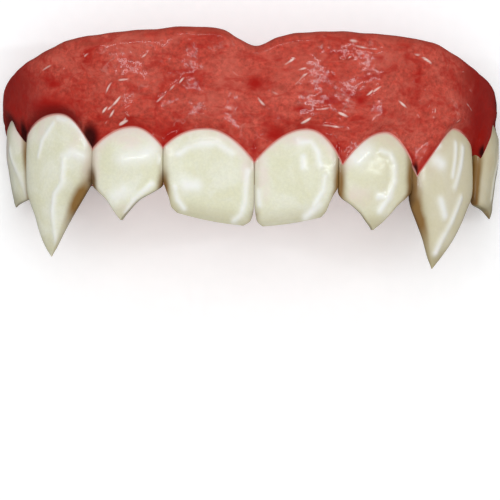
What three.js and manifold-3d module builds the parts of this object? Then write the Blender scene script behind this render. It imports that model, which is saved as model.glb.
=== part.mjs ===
// Upper plate of a costume fang denture: a horseshoe of gum-red acrylic that clips over the
// wearer's own upper teeth, with eight false teeth set in its front, two of them long fangs.
//
// Millimetres. X runs to the viewer's right, Y from the tooth tips up to the gum border and Z out
// of the front teeth. The plate lies on the cut ends of its two legs (Z = 0), teeth facing up.
// Heights in this file count from the bite line, the level of the central incisors' edges.
// Left and right are the sides as seen from the front.
import * as THREE from "three";
import { mergeVertices } from "three/addons/utils/BufferGeometryUtils.js";
import Module from "manifold-3d";

// The arch line is the curve that the tooth faces stand on, seen along Y.
const ARCH_HALF_WIDTH = 28.4;
const ARCH_DEPTH = 21;
const ARCH_SQUARENESS = 2.3; // 2 is an ellipse, more is squarer

const CROWN_HEIGHT = 10.6; // bite line to the gum edge over a central incisor
const FANG_DROP = 4.8; // bite line to the longer fang's tip
const FLANGE_HEIGHT = 22; // bite line to the highest point of the gum border

const TOOTH_THICKNESS = 3;
const TOOTH_TIP_RADIUS = 0.16;
const TOOTH_GAP = 0.3; // between two teeth, and between a tooth and the gum round it

const GUM_SWELL = 0.45; // how far the gum stands out over a root
const GUM_HOLLOW = 0.35; // how far it sinks between two roots
const GUM_LIP = 0.75; // thickness of the gum edge where it laps a tooth
const BORDER_ROLL = 1.1; // radius of the rolled border
const FLANGE_WALL = 2.3;
const BACK_WALL = 1.4; // wall behind the teeth
const TROUGH_WIDTH = 6.4; // room for the wearer's own teeth
const TONGUE_WALL = 1.4;
const TONGUE_WALL_RISE = 6.6; // from the underside of the floor to the wall's top
const FLOOR_WALL = 1.4;
const FLOOR_DROP = 1.2; // from the lowest gum point to the underside of the floor
const HEEL_INSET = 1.1; // how far the plain heels stand back from the arch line

const GUM_COLOUR = 0xb1362e;
const TOOTH_COLOUR = 0xe2ddc2;

const TOOTH_POINTS = 20; // round one section of a tooth
const TOOTH_SECTIONS = 13;
const STATIONS_PER_ARC = 4; // gum sections between a gum point and the next crest


// Places along the arch are shares of its half length: -1 is the left heel, 0 the middle.
// One row for each stretch of the border: its height as a share of FLANGE_HEIGHT.
const BORDER = [
  { at: -1, height: 0.63 },
  { at: -0.96, height: 0.655 },
  { at: -0.887, height: 0.757 },
  { at: -0.749, height: 0.831 },
  { at: -0.615, height: 0.904 },
  { at: -0.504, height: 0.956 },
  { at: -0.284, height: 0.988 },
  { at: -0.15, height: 1 },
  { at: -0.075, height: 0.981 },
  { at: -0.031, height: 0.938 },
  { at: 0.018, height: 0.901 },
  { at: 0.084, height: 0.95 },
  { at: 0.14, height: 0.968 },
  { at: 0.254, height: 0.975 },
  { at: 0.36, height: 0.967 },
  { at: 0.54, height: 0.934 },
  { at: 0.624, height: 0.884 },
  { at: 0.72, height: 0.817 },
  { at: 0.836, height: 0.758 },
  { at: 0.93, height: 0.71 },
  { at: 1, height: 0.63 },
];

// The gum edge as arcs over the teeth: a row for each gum point between two teeth and for each
// crest over one. height is a share of CROWN_HEIGHT, and round is the fullness of the arc on
// both sides of a crest: 1 is straight, 2.3 well rounded.
const GUM_EDGE = [
  { at: -1, height: 0.9 },
  { at: -0.965, height: 0.9 },
  { at: -0.86, height: 1.14, roundLeft: 2, roundRight: 2 },
  { at: -0.742, height: 0.89 },
  { at: -0.578, height: 1.172, roundLeft: 2, roundRight: 2.2 },
  { at: -0.457, height: 0.779 },
  { at: -0.334, height: 1.025, roundLeft: 1.9, roundRight: 2 },
  { at: -0.243, height: 0.798 },
  { at: -0.122, height: 1, roundLeft: 2.3, roundRight: 2.2 },
  { at: 0.012, height: 0.645 },
  { at: 0.156, height: 0.995, roundLeft: 1.9, roundRight: 2.2 },
  { at: 0.258, height: 0.622 },
  { at: 0.388, height: 0.968, roundLeft: 2, roundRight: 1.8 },
  { at: 0.495, height: 0.53 },
  { at: 0.638, height: 1.02, roundLeft: 1.45, roundRight: 2 },
  { at: 0.764, height: 0.74 },
  { at: 0.86, height: 1.09, roundLeft: 1.8, roundRight: 2 },
  { at: 0.968, height: 0.88 },
  { at: 1, height: 0.88 },
];

const SEAT_DEPTH = TOOTH_THICKNESS + TOOTH_GAP;
const LOWEST_GUM = CROWN_HEIGHT * Math.min(...GUM_EDGE.map((row) => row.height));
const FLOOR_HEIGHT = LOWEST_GUM - FLOOR_DROP;

// How deep a tooth lies behind the arch line, as shares of TOOTH_THICKNESS. rise is 0 at the
// tip or biting edge, 1 at the gum edge and more inside the gum.
const INCISOR_DEPTH = [
  { rise: 0, front: 0.3, back: 0.62 },
  { rise: 0.12, front: 0.17, back: 0.76 },
  { rise: 0.3, front: 0.06, back: 0.9 },
  { rise: 0.55, front: 0, back: 1 },
  { rise: 0.8, front: 0.09, back: 1 },
  { rise: 1, front: 0.33, back: 0.94 },
  { rise: 1.08, front: 0.44, back: 0.75 },
];
const FANG_DEPTH = [
  { rise: 0, front: 0.42, back: 0.5 },
  { rise: 0.1, front: 0.27, back: 0.68 },
  { rise: 0.3, front: 0.07, back: 0.92 },
  { rise: 0.55, front: -0.06, back: 1 },
  { rise: 0.8, front: 0.03, back: 1 },
  { rise: 1, front: 0.33, back: 0.92 },
  { rise: 1.06, front: 0.42, back: 0.75 },
];
const PREMOLAR_DEPTH = [
  { rise: 0, front: 0.36, back: 0.56 },
  { rise: 0.15, front: 0.27, back: 0.82 },
  { rise: 0.4, front: 0.14, back: 1 },
  { rise: 0.62, front: 0.03, back: 1 },
  { rise: 0.85, front: 0.08, back: 0.98 },
  { rise: 1, front: 0.33, back: 0.88 },
  { rise: 1.06, front: 0.42, back: 0.75 },
];

// A tooth fills the sector of the arch from one contact to the next. neck and tip are heights.
// Its outline gives both side edges at a rise, as shares of the sector's length, from its middle.
// A tooth with a biting edge has no point: edgeLeft and edgeRight are the heights of its ends, and
// edgeBow is how far it bows down between them.
// flatness shapes the face across: 2 is round, more is flatter with fuller corners.
const TEETH = [
  {
    name: "premolar_left",
    from: -0.965,
    to: -0.739,
    neck: 1.14 * CROWN_HEIGHT,
    tip: 0.205 * CROWN_HEIGHT,
    flatness: 2.1,
    depth: PREMOLAR_DEPTH,
    outline: [
      { rise: 0, left: -0.19, right: -0.19 },
      { rise: 0.035, left: -0.24, right: 0.05 },
      { rise: 0.07, left: -0.28, right: 0.32 },
      { rise: 0.1, left: -0.31, right: 0.48 },
      { rise: 0.14, left: -0.35, right: 0.5 },
      { rise: 0.3, left: -0.44, right: 0.5 },
      { rise: 0.6, left: -0.49, right: 0.5 },
      { rise: 0.85, left: -0.47, right: 0.5 },
      { rise: 1, left: -0.4, right: 0.42 },
      { rise: 1.06, left: -0.25, right: 0.25 },
    ],
  },
  {
    name: "fang_left",
    from: -0.739,
    to: -0.457,
    neck: 1.172 * CROWN_HEIGHT,
    tip: -0.715 * FANG_DROP,
    flatness: 2.1,
    depth: FANG_DEPTH,
    outline: [
      { rise: 0, left: -0.104, right: -0.104 },
      { rise: 0.07, left: -0.186, right: -0.019 },
      { rise: 0.17, left: -0.267, right: 0.08 },
      { rise: 0.29, left: -0.341, right: 0.21 },
      { rise: 0.39, left: -0.43, right: 0.33 },
      { rise: 0.48, left: -0.49, right: 0.43 },
      { rise: 0.55, left: -0.5, right: 0.5 },
      { rise: 0.88, left: -0.5, right: 0.5 },
      { rise: 1, left: -0.4, right: 0.4 },
      { rise: 1.06, left: -0.25, right: 0.25 },
    ],
  },
  {
    name: "lateral_incisor_left",
    from: -0.457,
    to: -0.243,
    neck: 1.025 * CROWN_HEIGHT,
    tip: 0.059 * CROWN_HEIGHT,
    flatness: 2.4,
    depth: INCISOR_DEPTH,
    outline: [
      { rise: 0, left: -0.11, right: -0.11 },
      { rise: 0.1, left: -0.195, right: 0.016 },
      { rise: 0.22, left: -0.293, right: 0.176 },
      { rise: 0.31, left: -0.415, right: 0.387 },
      { rise: 0.37, left: -0.49, right: 0.49 },
      { rise: 0.45, left: -0.5, right: 0.5 },
      { rise: 0.85, left: -0.5, right: 0.5 },
      { rise: 1, left: -0.4, right: 0.4 },
      { rise: 1.08, left: -0.25, right: 0.25 },
    ],
  },
  {
    name: "central_incisor_left",
    from: -0.243,
    to: 0.012,
    neck: 1 * CROWN_HEIGHT,
    edgeLeft: 0.172 * CROWN_HEIGHT,
    edgeRight: -0.015 * CROWN_HEIGHT,
    edgeBow: 0.03 * CROWN_HEIGHT,
    flatness: 2.9,
    depth: INCISOR_DEPTH,
    outline: [
      { rise: 0, left: -0.355, right: 0.38 },
      { rise: 0.06, left: -0.418, right: 0.461 },
      { rise: 0.15, left: -0.437, right: 0.49 },
      { rise: 0.27, left: -0.476, right: 0.5 },
      { rise: 0.36, left: -0.5, right: 0.5 },
      { rise: 0.8, left: -0.5, right: 0.5 },
      { rise: 1, left: -0.4, right: 0.4 },
      { rise: 1.08, left: -0.25, right: 0.25 },
    ],
  },
  {
    name: "central_incisor_right",
    from: 0.012,
    to: 0.247,
    neck: 0.995 * CROWN_HEIGHT,
    edgeLeft: -0.019 * CROWN_HEIGHT,
    edgeRight: 0.127 * CROWN_HEIGHT,
    edgeBow: 0.025 * CROWN_HEIGHT,
    flatness: 2.9,
    depth: INCISOR_DEPTH,
    outline: [
      { rise: 0, left: -0.4, right: 0.3 },
      { rise: 0.06, left: -0.47, right: 0.36 },
      { rise: 0.15, left: -0.49, right: 0.4 },
      { rise: 0.24, left: -0.5, right: 0.45 },
      { rise: 0.32, left: -0.5, right: 0.5 },
      { rise: 0.8, left: -0.5, right: 0.5 },
      { rise: 1, left: -0.4, right: 0.4 },
      { rise: 1.08, left: -0.25, right: 0.25 },
    ],
  },
  {
    name: "lateral_incisor_right",
    from: 0.247,
    to: 0.47,
    neck: 0.968 * CROWN_HEIGHT,
    tip: -0.045 * CROWN_HEIGHT,
    flatness: 2.4,
    depth: INCISOR_DEPTH,
    outline: [
      { rise: 0, left: -0.022, right: -0.022 },
      { rise: 0.09, left: -0.123, right: 0.11 },
      { rise: 0.17, left: -0.202, right: 0.206 },
      { rise: 0.26, left: -0.333, right: 0.31 },
      { rise: 0.33, left: -0.461, right: 0.42 },
      { rise: 0.39, left: -0.5, right: 0.49 },
      { rise: 0.45, left: -0.5, right: 0.5 },
      { rise: 0.85, left: -0.5, right: 0.5 },
      { rise: 1, left: -0.4, right: 0.4 },
      { rise: 1.08, left: -0.25, right: 0.25 },
    ],
  },
  {
    name: "fang_right",
    from: 0.47,
    to: 0.742,
    neck: 1.02 * CROWN_HEIGHT,
    tip: -FANG_DROP,
    flatness: 2.1,
    depth: FANG_DEPTH,
    outline: [
      { rise: 0, left: -0.179, right: -0.179 },
      { rise: 0.09, left: -0.243, right: -0.049 },
      { rise: 0.21, left: -0.302, right: 0.119 },
      { rise: 0.34, left: -0.396, right: 0.265 },
      { rise: 0.44, left: -0.47, right: 0.38 },
      { rise: 0.5, left: -0.495, right: 0.46 },
      { rise: 0.57, left: -0.5, right: 0.5 },
      { rise: 0.88, left: -0.5, right: 0.5 },
      { rise: 1, left: -0.38, right: 0.4 },
      { rise: 1.06, left: -0.24, right: 0.26 },
    ],
  },
  {
    name: "premolar_right",
    from: 0.742,
    to: 0.968,
    neck: 1.09 * CROWN_HEIGHT,
    tip: 0.08 * CROWN_HEIGHT,
    flatness: 2.1,
    depth: PREMOLAR_DEPTH,
    outline: [
      { rise: 0, left: 0.25, right: 0.25 },
      { rise: 0.05, left: 0.05, right: 0.32 },
      { rise: 0.09, left: -0.07, right: 0.36 },
      { rise: 0.12, left: -0.3, right: 0.39 },
      { rise: 0.15, left: -0.48, right: 0.41 },
      { rise: 0.2, left: -0.5, right: 0.43 },
      { rise: 0.5, left: -0.5, right: 0.49 },
      { rise: 0.85, left: -0.5, right: 0.48 },
      { rise: 1, left: -0.4, right: 0.4 },
      { rise: 1.06, left: -0.25, right: 0.25 },
    ],
  },
];

const wasm = await Module();
wasm.setup();

// The plan of the arch, from the left heel round the front to the right heel.
class ArchLine extends THREE.Curve {
  getPoint(t, target = new THREE.Vector3()) {
    const angle = (t - 0.5) * Math.PI;
    const across = Math.abs(Math.sin(angle)) / ARCH_HALF_WIDTH;
    const along = Math.abs(Math.cos(angle)) / ARCH_DEPTH;
    const radius = (across ** ARCH_SQUARENESS + along ** ARCH_SQUARENESS) ** (-1 / ARCH_SQUARENESS);
    return target.set(radius * Math.sin(angle), 0, radius * Math.cos(angle));
  }

  // The curve goes on past its two ends, so the direction there is true as well.
  getTangent(t, target = new THREE.Vector3()) {
    const step = 1e-4;
    return target.subVectors(this.getPoint(t + step), this.getPoint(t - step)).normalize();
  }
}

const arch = new ArchLine();
arch.arcLengthDivisions = 1200;
const HALF_LENGTH = arch.getLength() / 2;

// The arch line's point, its direction to the right and its outward normal at a place on it.
function archFrame(at) {
  const u = (at + 1) / 2;
  const point = arch.getPointAt(u);
  const along = arch.getTangentAt(u);
  const out = new THREE.Vector3(-along.z, 0, along.x);
  return { point, along, out };
}

// A table's column at any key, on a smooth curve through its rows that doesn't overshoot them.
function readTable(rows, key, column, x) {
  const last = rows.length - 1;
  if (x <= rows[0][key]) return rows[0][column];
  if (x >= rows[last][key]) return rows[last][column];
  const i = rows.findIndex((row, k) => k < last && x < rows[k + 1][key]);
  const rate = (k) =>
    (rows[k + 1][column] - rows[k][column]) / (rows[k + 1][key] - rows[k][key]);
  const slope = (k) => {
    if (k === 0) return rate(0);
    if (k === last) return rate(last - 1);
    const before = rate(k - 1);
    const after = rate(k);
    return before * after <= 0 ? 0 : (2 * before * after) / (before + after);
  };
  const step = rows[i + 1][key] - rows[i][key];
  const t = (x - rows[i][key]) / step;
  const rest = 1 - t;
  return (
    rows[i][column] * rest * rest * (1 + 2 * t) +
    rows[i + 1][column] * t * t * (3 - 2 * t) +
    step * t * rest * (slope(i) * rest - slope(i + 1) * t)
  );
}

function smoothStep(from, to, x) {
  const t = THREE.MathUtils.clamp((x - from) / (to - from), 0, 1);
  return t * t * (3 - 2 * t);
}

const borderHeight = (at) => FLANGE_HEIGHT * readTable(BORDER, "at", "height", at);

function gumEdgeHeight(at) {
  const last = GUM_EDGE.length - 1;
  const i = Math.min(last - 1, Math.max(0, GUM_EDGE.findIndex((row, k) => k < last && at < GUM_EDGE[k + 1].at)));
  const before = GUM_EDGE[at >= 1 ? last - 1 : i];
  const after = GUM_EDGE[at >= 1 ? last : i + 1];
  if (!before.roundRight && !after.roundLeft) return CROWN_HEIGHT * before.height;
  const crest = before.roundRight ? before : after;
  const point = before.roundRight ? after : before;
  const round = before.roundRight ? before.roundRight : after.roundLeft;
  const away = Math.abs((at - crest.at) / (point.at - crest.at));
  return CROWN_HEIGHT * (crest.height + (point.height - crest.height) * away ** round);
}

// The height of the crests over the teeth, without the dips between them.
const crestRows = GUM_EDGE.filter((row) => row.roundLeft);
const crestHeight = (at) => CROWN_HEIGHT * readTable(crestRows, "at", "height", at);

// 1 over the middle of a root, 0 between two roots.
function rootShare(at) {
  const tooth = TEETH.find((row) => at >= row.from && at <= row.to);
  if (!tooth) return 0;
  const middle = (tooth.from + tooth.to) / 2;
  return Math.cos(((at - middle) / (tooth.to - tooth.from)) * Math.PI) ** 2;
}

// The gum's section at a place on the arch: x is the distance out from the arch line, y the height.
function gumSection(at) {
  const border = borderHeight(at);
  const edge = gumEdgeHeight(at);
  const share = rootShare(at);
  const swell = GUM_SWELL * share;
  const hollow = -GUM_HOLLOW * (1 - share);
  const toothEnd = Math.max(-TEETH[0].from, TEETH[TEETH.length - 1].to);
  const heel = smoothStep(toothEnd - 0.005, toothEnd + 0.02, Math.abs(at));
  const seat = -THREE.MathUtils.lerp(SEAT_DEPTH, HEEL_INSET, heel);
  const trough = -(SEAT_DEPTH + BACK_WALL);
  const tongue = trough - TROUGH_WIDTH;
  const face = (level) => edge + (border - edge) * level;
  const flangeTop = border - 2 * BORDER_ROLL;
  const shoulderTop = Math.min(crestHeight(at) + 4.4, flangeTop - 0.3);
  const shoulder = Math.min(crestHeight(at) + 2.6, shoulderTop - 0.5);
  return [
    [-FLANGE_WALL, shoulderTop],
    [trough, shoulder],
    [trough, FLOOR_HEIGHT + FLOOR_WALL],
    [tongue, FLOOR_HEIGHT + FLOOR_WALL],
    [tongue, FLOOR_HEIGHT + TONGUE_WALL_RISE],
    [tongue - TONGUE_WALL, FLOOR_HEIGHT + TONGUE_WALL_RISE],
    [tongue - TONGUE_WALL, FLOOR_HEIGHT],
    [seat, FLOOR_HEIGHT],
    [seat, edge - TOOTH_GAP],
    [-GUM_LIP + 0.4 * swell + 1.4 * hollow, edge],
    [0.3 * swell + 1.6 * hollow, face(0.05)],
    [swell + hollow, face(0.15)],
    [0.9 * swell + 0.6 * hollow, face(0.35)],
    [0.4 * swell + 0.3 * hollow, face(0.6)],
    [0.25 * GUM_SWELL, border - 1.3 * BORDER_ROLL],
    [-0.25 * BORDER_ROLL, border - 0.35 * BORDER_ROLL],
    [-BORDER_ROLL, border],
    [-BORDER_ROLL - 0.6 * BORDER_ROLL, border - 0.5 * BORDER_ROLL],
    [-FLANGE_WALL, flangeTop],
  ].map(([x, y]) => new THREE.Vector2(x, y));
}

// A closed body through rings of equally many points, with its two ends capped flat. The ends'
// contours run the other way round than the stack, as seen along it.
function loft(rings, contours) {
  const count = rings[0].length;
  const position = rings.flat().flatMap((p) => [p.x, p.y, p.z]);
  const index = [];
  for (let k = 0; k + 1 < rings.length; k++) {
    for (let j = 0; j < count; j++) {
      const a = k * count + j;
      const b = k * count + ((j + 1) % count);
      index.push(a, b + count, b, a, a + count, b + count);
    }
  }
  const endStart = (rings.length - 1) * count;
  for (const [a, b, c] of THREE.ShapeUtils.triangulateShape(contours[0], [])) {
    index.push(a, b, c);
  }
  for (const [a, b, c] of THREE.ShapeUtils.triangulateShape(contours[1], [])) {
    index.push(endStart + a, endStart + c, endStart + b);
  }
  const geometry = new THREE.BufferGeometry();
  geometry.setAttribute("position", new THREE.Float32BufferAttribute(position, 3));
  geometry.setIndex(index);
  return geometry;
}

// One tooth, in arch coordinates until the last step: x along the arch from the tooth's middle,
// y up and z out from the arch line. grow makes the same tooth larger all round, for the pocket
// that it is seated in.
function toothGeometry(tooth, grow = 0) {
  const width = (tooth.to - tooth.from) * HALF_LENGTH;
  const middle = (tooth.from + tooth.to) / 2;
  const reach = (width - TOOTH_GAP) / 2;
  const pointed = tooth.tip !== undefined;
  const topRise = tooth.outline[tooth.outline.length - 1].rise;
  const sections = [];
  for (let k = 0; k < TOOTH_SECTIONS; k++) {
    const rise = topRise * (k / (TOOTH_SECTIONS - 1)) ** 1.3;
    const left = width * readTable(tooth.outline, "rise", "left", rise);
    const right = width * readTable(tooth.outline, "rise", "right", rise);
    const front = -TOOTH_THICKNESS * readTable(tooth.depth, "rise", "front", rise);
    const back = -TOOTH_THICKNESS * readTable(tooth.depth, "rise", "back", rise);
    const half = Math.max((right - left) / 2, TOOTH_TIP_RADIUS);
    const waist = THREE.MathUtils.lerp(front, back, 0.42);
    const section = [];
    for (let j = 0; j < TOOTH_POINTS; j++) {
      const angle = (j / TOOTH_POINTS) * 2 * Math.PI;
      const cos = Math.cos(angle);
      const sin = Math.sin(angle);
      const power = 2 / (sin > 0 ? tooth.flatness : 2.2);
      const deep = grow + (sin > 0 ? front - waist : waist - back);
      const across = Math.sign(cos) * Math.abs(cos) ** power;
      const x = THREE.MathUtils.clamp((left + right) / 2 + half * across, -reach, reach);
      const z = waist + deep * Math.sign(sin) * Math.abs(sin) ** power;
      const foot = pointed
        ? tooth.tip
        : THREE.MathUtils.lerp(tooth.edgeLeft, tooth.edgeRight, x / width + 0.5) -
          tooth.edgeBow * (1 - Math.min(1, (2 * x) / width * ((2 * x) / width)));
      const ends = k === 0 ? -grow : k === TOOTH_SECTIONS - 1 ? grow : 0;
      const y = foot + (tooth.neck - foot) * rise + ends;
      section.push(new THREE.Vector3(x + grow * across, y, z));
    }
    sections.push(section);
  }
  const bend = (p) => {
    const { point, out } = archFrame(middle + p.x / HALF_LENGTH);
    return point.addScaledVector(out, p.z).setY(p.y);
  };
  const contour = (section) => section.map((p) => new THREE.Vector2(p.x, p.z));
  const ends = [contour(sections[0]), contour(sections[TOOTH_SECTIONS - 1])];
  return loft(sections.map((section) => section.map(bend)), ends);
}

function material(colour, roughness) {
  return new THREE.MeshStandardMaterial({ color: colour, roughness, metalness: 0 });
}

function toothMesh(tooth) {
  const geometry = toothGeometry(tooth);
  geometry.computeVertexNormals();
  const mesh = new THREE.Mesh(geometry, material(TOOTH_COLOUR, 0.22));
  mesh.name = tooth.name;
  return mesh;
}

function toSolid(geometry) {
  const bare = new THREE.BufferGeometry();
  bare.setAttribute("position", geometry.getAttribute("position"));
  bare.setIndex(geometry.index);
  const merged = mergeVertices(bare, 1e-4);
  return new wasm.Manifold(
    new wasm.Mesh({
      numProp: 3,
      vertProperties: merged.attributes.position.array,
      triVerts: new Uint32Array(merged.index.array),
    }),
  );
}

function toGeometry(solid) {
  const mesh = solid.getMesh();
  const geometry = new THREE.BufferGeometry();
  geometry.setAttribute("position", new THREE.Float32BufferAttribute(mesh.vertProperties, 3));
  geometry.setIndex(Array.from(mesh.triVerts));
  geometry.computeVertexNormals();
  return geometry;
}

// Sections of the gum stand at every gum point and crest, and evenly between them.
function gumStations() {
  const stations = [];
  for (let i = 0; i + 1 < GUM_EDGE.length; i++) {
    for (let k = 0; k < STATIONS_PER_ARC; k++) {
      stations.push(THREE.MathUtils.lerp(GUM_EDGE[i].at, GUM_EDGE[i + 1].at, k / STATIONS_PER_ARC));
    }
  }
  return [...stations, 1];
}

// The gum plate: front flange, wall behind the teeth, floor and tongue-side wall in one piece,
// with a pocket for each tooth.
function gumMesh() {
  const sections = gumStations().map((at) => ({ ...archFrame(at), section: gumSection(at) }));
  const rings = sections.map(({ point, out, section }) =>
    section.map((p) => point.clone().addScaledVector(out, p.x).setY(p.y)),
  );
  const contours = [sections[0].section, sections[sections.length - 1].section];
  let gum = toSolid(loft(rings, contours));
  for (const tooth of TEETH) gum = gum.subtract(toSolid(toothGeometry(tooth, TOOTH_GAP)));
  const mesh = new THREE.Mesh(toGeometry(gum), material(GUM_COLOUR, 0.3));
  mesh.name = "gum_plate";
  return mesh;
}

const plate = new THREE.Group();
plate.add(gumMesh(), ...TEETH.map(toothMesh));

// The origin is on the resting plane, under the middle of the plate.
const middle = new THREE.Box3().setFromObject(plate, true).getCenter(new THREE.Vector3());
plate.position.set(-middle.x, -middle.y, 0);

const denture = new THREE.Group();
denture.add(plate);
export default denture;
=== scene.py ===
"""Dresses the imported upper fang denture: a glossy, hand-painted gum plate and eight false teeth,
lying front up on a pale floor under soft studio light."""

import math
import random

import bmesh
import bpy
import numpy as np
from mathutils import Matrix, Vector, noise


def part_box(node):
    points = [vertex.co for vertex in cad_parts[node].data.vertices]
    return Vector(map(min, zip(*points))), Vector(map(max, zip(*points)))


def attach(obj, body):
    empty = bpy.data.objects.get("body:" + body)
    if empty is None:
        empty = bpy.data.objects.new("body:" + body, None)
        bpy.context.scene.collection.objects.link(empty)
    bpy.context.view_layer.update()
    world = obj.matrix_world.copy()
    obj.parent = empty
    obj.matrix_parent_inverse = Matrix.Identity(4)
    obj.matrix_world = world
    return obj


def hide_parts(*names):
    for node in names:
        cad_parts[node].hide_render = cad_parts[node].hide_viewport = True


bl_info = {
    "name": "Upper fang denture",
    "version": (1, 0, 0),
    "blender": (4, 5, 0),
    "location": "View3D > Sidebar > Denture",
    "description": "Gum plate and false teeth of a costume denture, with their finishes",
    "category": "Object",
}

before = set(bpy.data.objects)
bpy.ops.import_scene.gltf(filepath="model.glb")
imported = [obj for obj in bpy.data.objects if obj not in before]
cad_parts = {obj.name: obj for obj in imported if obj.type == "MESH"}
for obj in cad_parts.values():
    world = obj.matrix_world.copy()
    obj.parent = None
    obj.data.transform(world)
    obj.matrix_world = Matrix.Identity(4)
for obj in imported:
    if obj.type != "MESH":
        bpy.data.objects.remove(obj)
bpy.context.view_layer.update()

MM = 0.001
FANG_DROP = 4.8  # mm from the bite line to the longer fang's tip
BITE_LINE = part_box("fang_right")[0].y / MM + FANG_DROP  # mm, in the row frame


def table(columns, *rows):
    """Rows of values under named columns."""
    names = columns.split()
    return [dict(zip(names, row)) for row in rows]


# Places along the arch are shares of its half length: -1 is the left heel, 0 the middle.
BORDER = table(
    "at height",
    (-1, 0.63),
    (-0.96, 0.655),
    (-0.887, 0.757),
    (-0.749, 0.831),
    (-0.615, 0.904),
    (-0.504, 0.956),
    (-0.284, 0.988),
    (-0.15, 1),
    (-0.075, 0.981),
    (-0.031, 0.938),
    (0.018, 0.901),
    (0.084, 0.95),
    (0.14, 0.968),
    (0.254, 0.975),
    (0.36, 0.967),
    (0.54, 0.934),
    (0.624, 0.884),
    (0.72, 0.817),
    (0.836, 0.758),
    (0.93, 0.71),
    (1, 0.63),
)

# The gum edge as arcs over the teeth: gum points between two teeth, and crests over one.
GUM_EDGE = [
    {"at": -1, "height": 0.9},
    {"at": -0.965, "height": 0.9},
    {"at": -0.86, "height": 1.14, "left": 2, "right": 2},
    {"at": -0.742, "height": 0.89},
    {"at": -0.578, "height": 1.172, "left": 2, "right": 2.2},
    {"at": -0.457, "height": 0.779},
    {"at": -0.334, "height": 1.025, "left": 1.9, "right": 2},
    {"at": -0.243, "height": 0.798},
    {"at": -0.122, "height": 1, "left": 2.3, "right": 1.95},
    {"at": 0.012, "height": 0.645},
    {"at": 0.156, "height": 0.995, "left": 1.9, "right": 2.2},
    {"at": 0.258, "height": 0.622},
    {"at": 0.388, "height": 0.968, "left": 2, "right": 1.8},
    {"at": 0.486, "height": 0.51},
    {"at": 0.622, "height": 1.02, "left": 1.45, "right": 1.8},
    {"at": 0.752, "height": 0.72},
    {"at": 0.86, "height": 1.09, "left": 1.8, "right": 2},
    {"at": 0.968, "height": 0.88},
    {"at": 1, "height": 0.88},
]

# Folds in the wet gum skin that catch the light: where, how high, how long, which way and how
# strong. Lengths in mm, angles in degrees from the arch. Their cream paint is a painted highlight.
FOLDS = table(
    "at height length angle rise",
    (-0.231, 14.6, 3.4, 43, 1.0),
    (-0.189, 16.0, 1.8, 47, 0.9),
    (0.109, 18.0, 1.8, 36, 1.0),
    (0.140, 17.2, 1.6, 16, 0.7),
    (0.136, 16.0, 2.1, 47, 0.8),
    (0.150, 16.5, 1.3, 42, 0.7),
    (0.199, 12.8, 1.9, 7, 1.0),
    (0.248, 12.4, 2.5, -19, 1.0),
    (0.158, 11.6, 1.9, 32, 0.9),
    (0.240, 10.9, 4.0, -9, 0.8),
    (0.332, 14.6, 1.3, 40, 0.8),
    (0.353, 15.1, 1.5, 34, 0.9),
    (0.435, 13.4, 2.4, -31, 1.0),
    (0.283, 20.4, 1.9, 8, 0.7),
    (0.324, 19.6, 3.2, -7, 0.7),
    (0.270, 19.5, 1.3, -32, 0.7),
    (0.477, 19.0, 1.5, -7, 0.8),
    (0.512, 18.4, 2.2, -26, 1.0),
    (0.577, 15.3, 2.5, -11, 0.6),
    (-0.399, 15.2, 1.9, 61, 0.6),
    (-0.360, 16.1, 2.4, 2, 0.6),
    (-0.414, 12.6, 1.8, 50, 0.9),
    (-0.377, 13.5, 2.6, 42, 0.9),
    (-0.360, 11.3, 1.9, 29, 1.0),
    (-0.392, 12.0, 2.4, 51, 0.8),
    (-0.335, 13.2, 1.5, 25, 0.8),
    (-0.100, 19.2, 1.5, 4, 0.8),
    (-0.463, 19.0, 1.1, 29, 0.7),
    (0.030, 13.6, 1.5, -48, 0.8),
    (-0.597, 17.8, 3.4, 21, 0.5),
    (-0.041, 16.7, 1.4, -39, 0.4),
    (0.674, 13.5, 2.7, -29, 0.5),
    (-0.292, 18.8, 1.5, 37, 0.6),
    (0.234, 16.5, 1.3, -48, 0.5),
    (0.066, 14.6, 1.5, -27, 0.5),
    (-0.019, 12.4, 1.3, 59, 0.4),
)

# Hand-painted marks on the gum, and those where small wrinkles lie: a middle on the arch, a height
# above the bite line and a size, in mm.
STIPPLED = table(
    "at height wide tall",
    (-0.341, 13.0, 1.9, 1.9),
    (-0.232, 18.3, 1.0, 0.7),
    (-0.241, 20.6, 1.2, 1.0),
    (-0.102, 18.9, 1.2, 0.8),
    (0.138, 15.8, 1.2, 1.1),
    (0.298, 19.9, 2.0, 1.0),
    (0.263, 18.5, 1.4, 0.8),
    (0.482, 17.9, 1.4, 1.0),
    (0.505, 13.5, 2.7, 2.6),
    (0.350, 15.5, 1.1, 1.0),
    (-0.138, 12.8, 1.8, 1.5),
    (0.636, 17.0, 1.7, 1.1),
    (-0.495, 19.0, 1.6, 0.9),
    (-0.558, 17.2, 1.7, 1.0),
    (0.645, 11.7, 1.8, 0.9),
)
DEEP_RED = table(
    "at height wide tall",
    (-0.225, 9.9, 2.2, 1.5),
    (0.070, 10.0, 2.4, 1.5),
    (-0.600, 13.2, 6.4, 2.6),
    (-0.440, 9.6, 1.1, 2.4),
    (-0.714, 10.6, 1.6, 1.8),
    (-0.241, 8.9, 0.9, 1.1),
    (-0.193, 10.4, 1.1, 0.7),
    (-0.576, 15.8, 1.4, 0.8),
    (0.306, 13.7, 0.8, 0.9),
    (0.069, 9.7, 1.1, 0.8),
    (0.241, 8.4, 1.0, 1.3),
    (0.011, 8.4, 0.8, 1.3),
    (0.014, 15.6, 1.3, 1.1),
    (0.738, 11.5, 2.4, 3.1),
    (0.437, 7.3, 0.5, 1.5),
    (0.221, 13.9, 1.6, 0.8),
    (0.138, 12.8, 1.6, 0.6),
)
SHADED = table(
    "at height wide tall",
    (-0.462, 9.7, 2.4, 3.4),
    (-0.742, 10.3, 1.7, 3.2),
    (0.754, 8.4, 0.7, 1.5),
    (0.480, 6.2, 0.6, 1.8),
)
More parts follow.
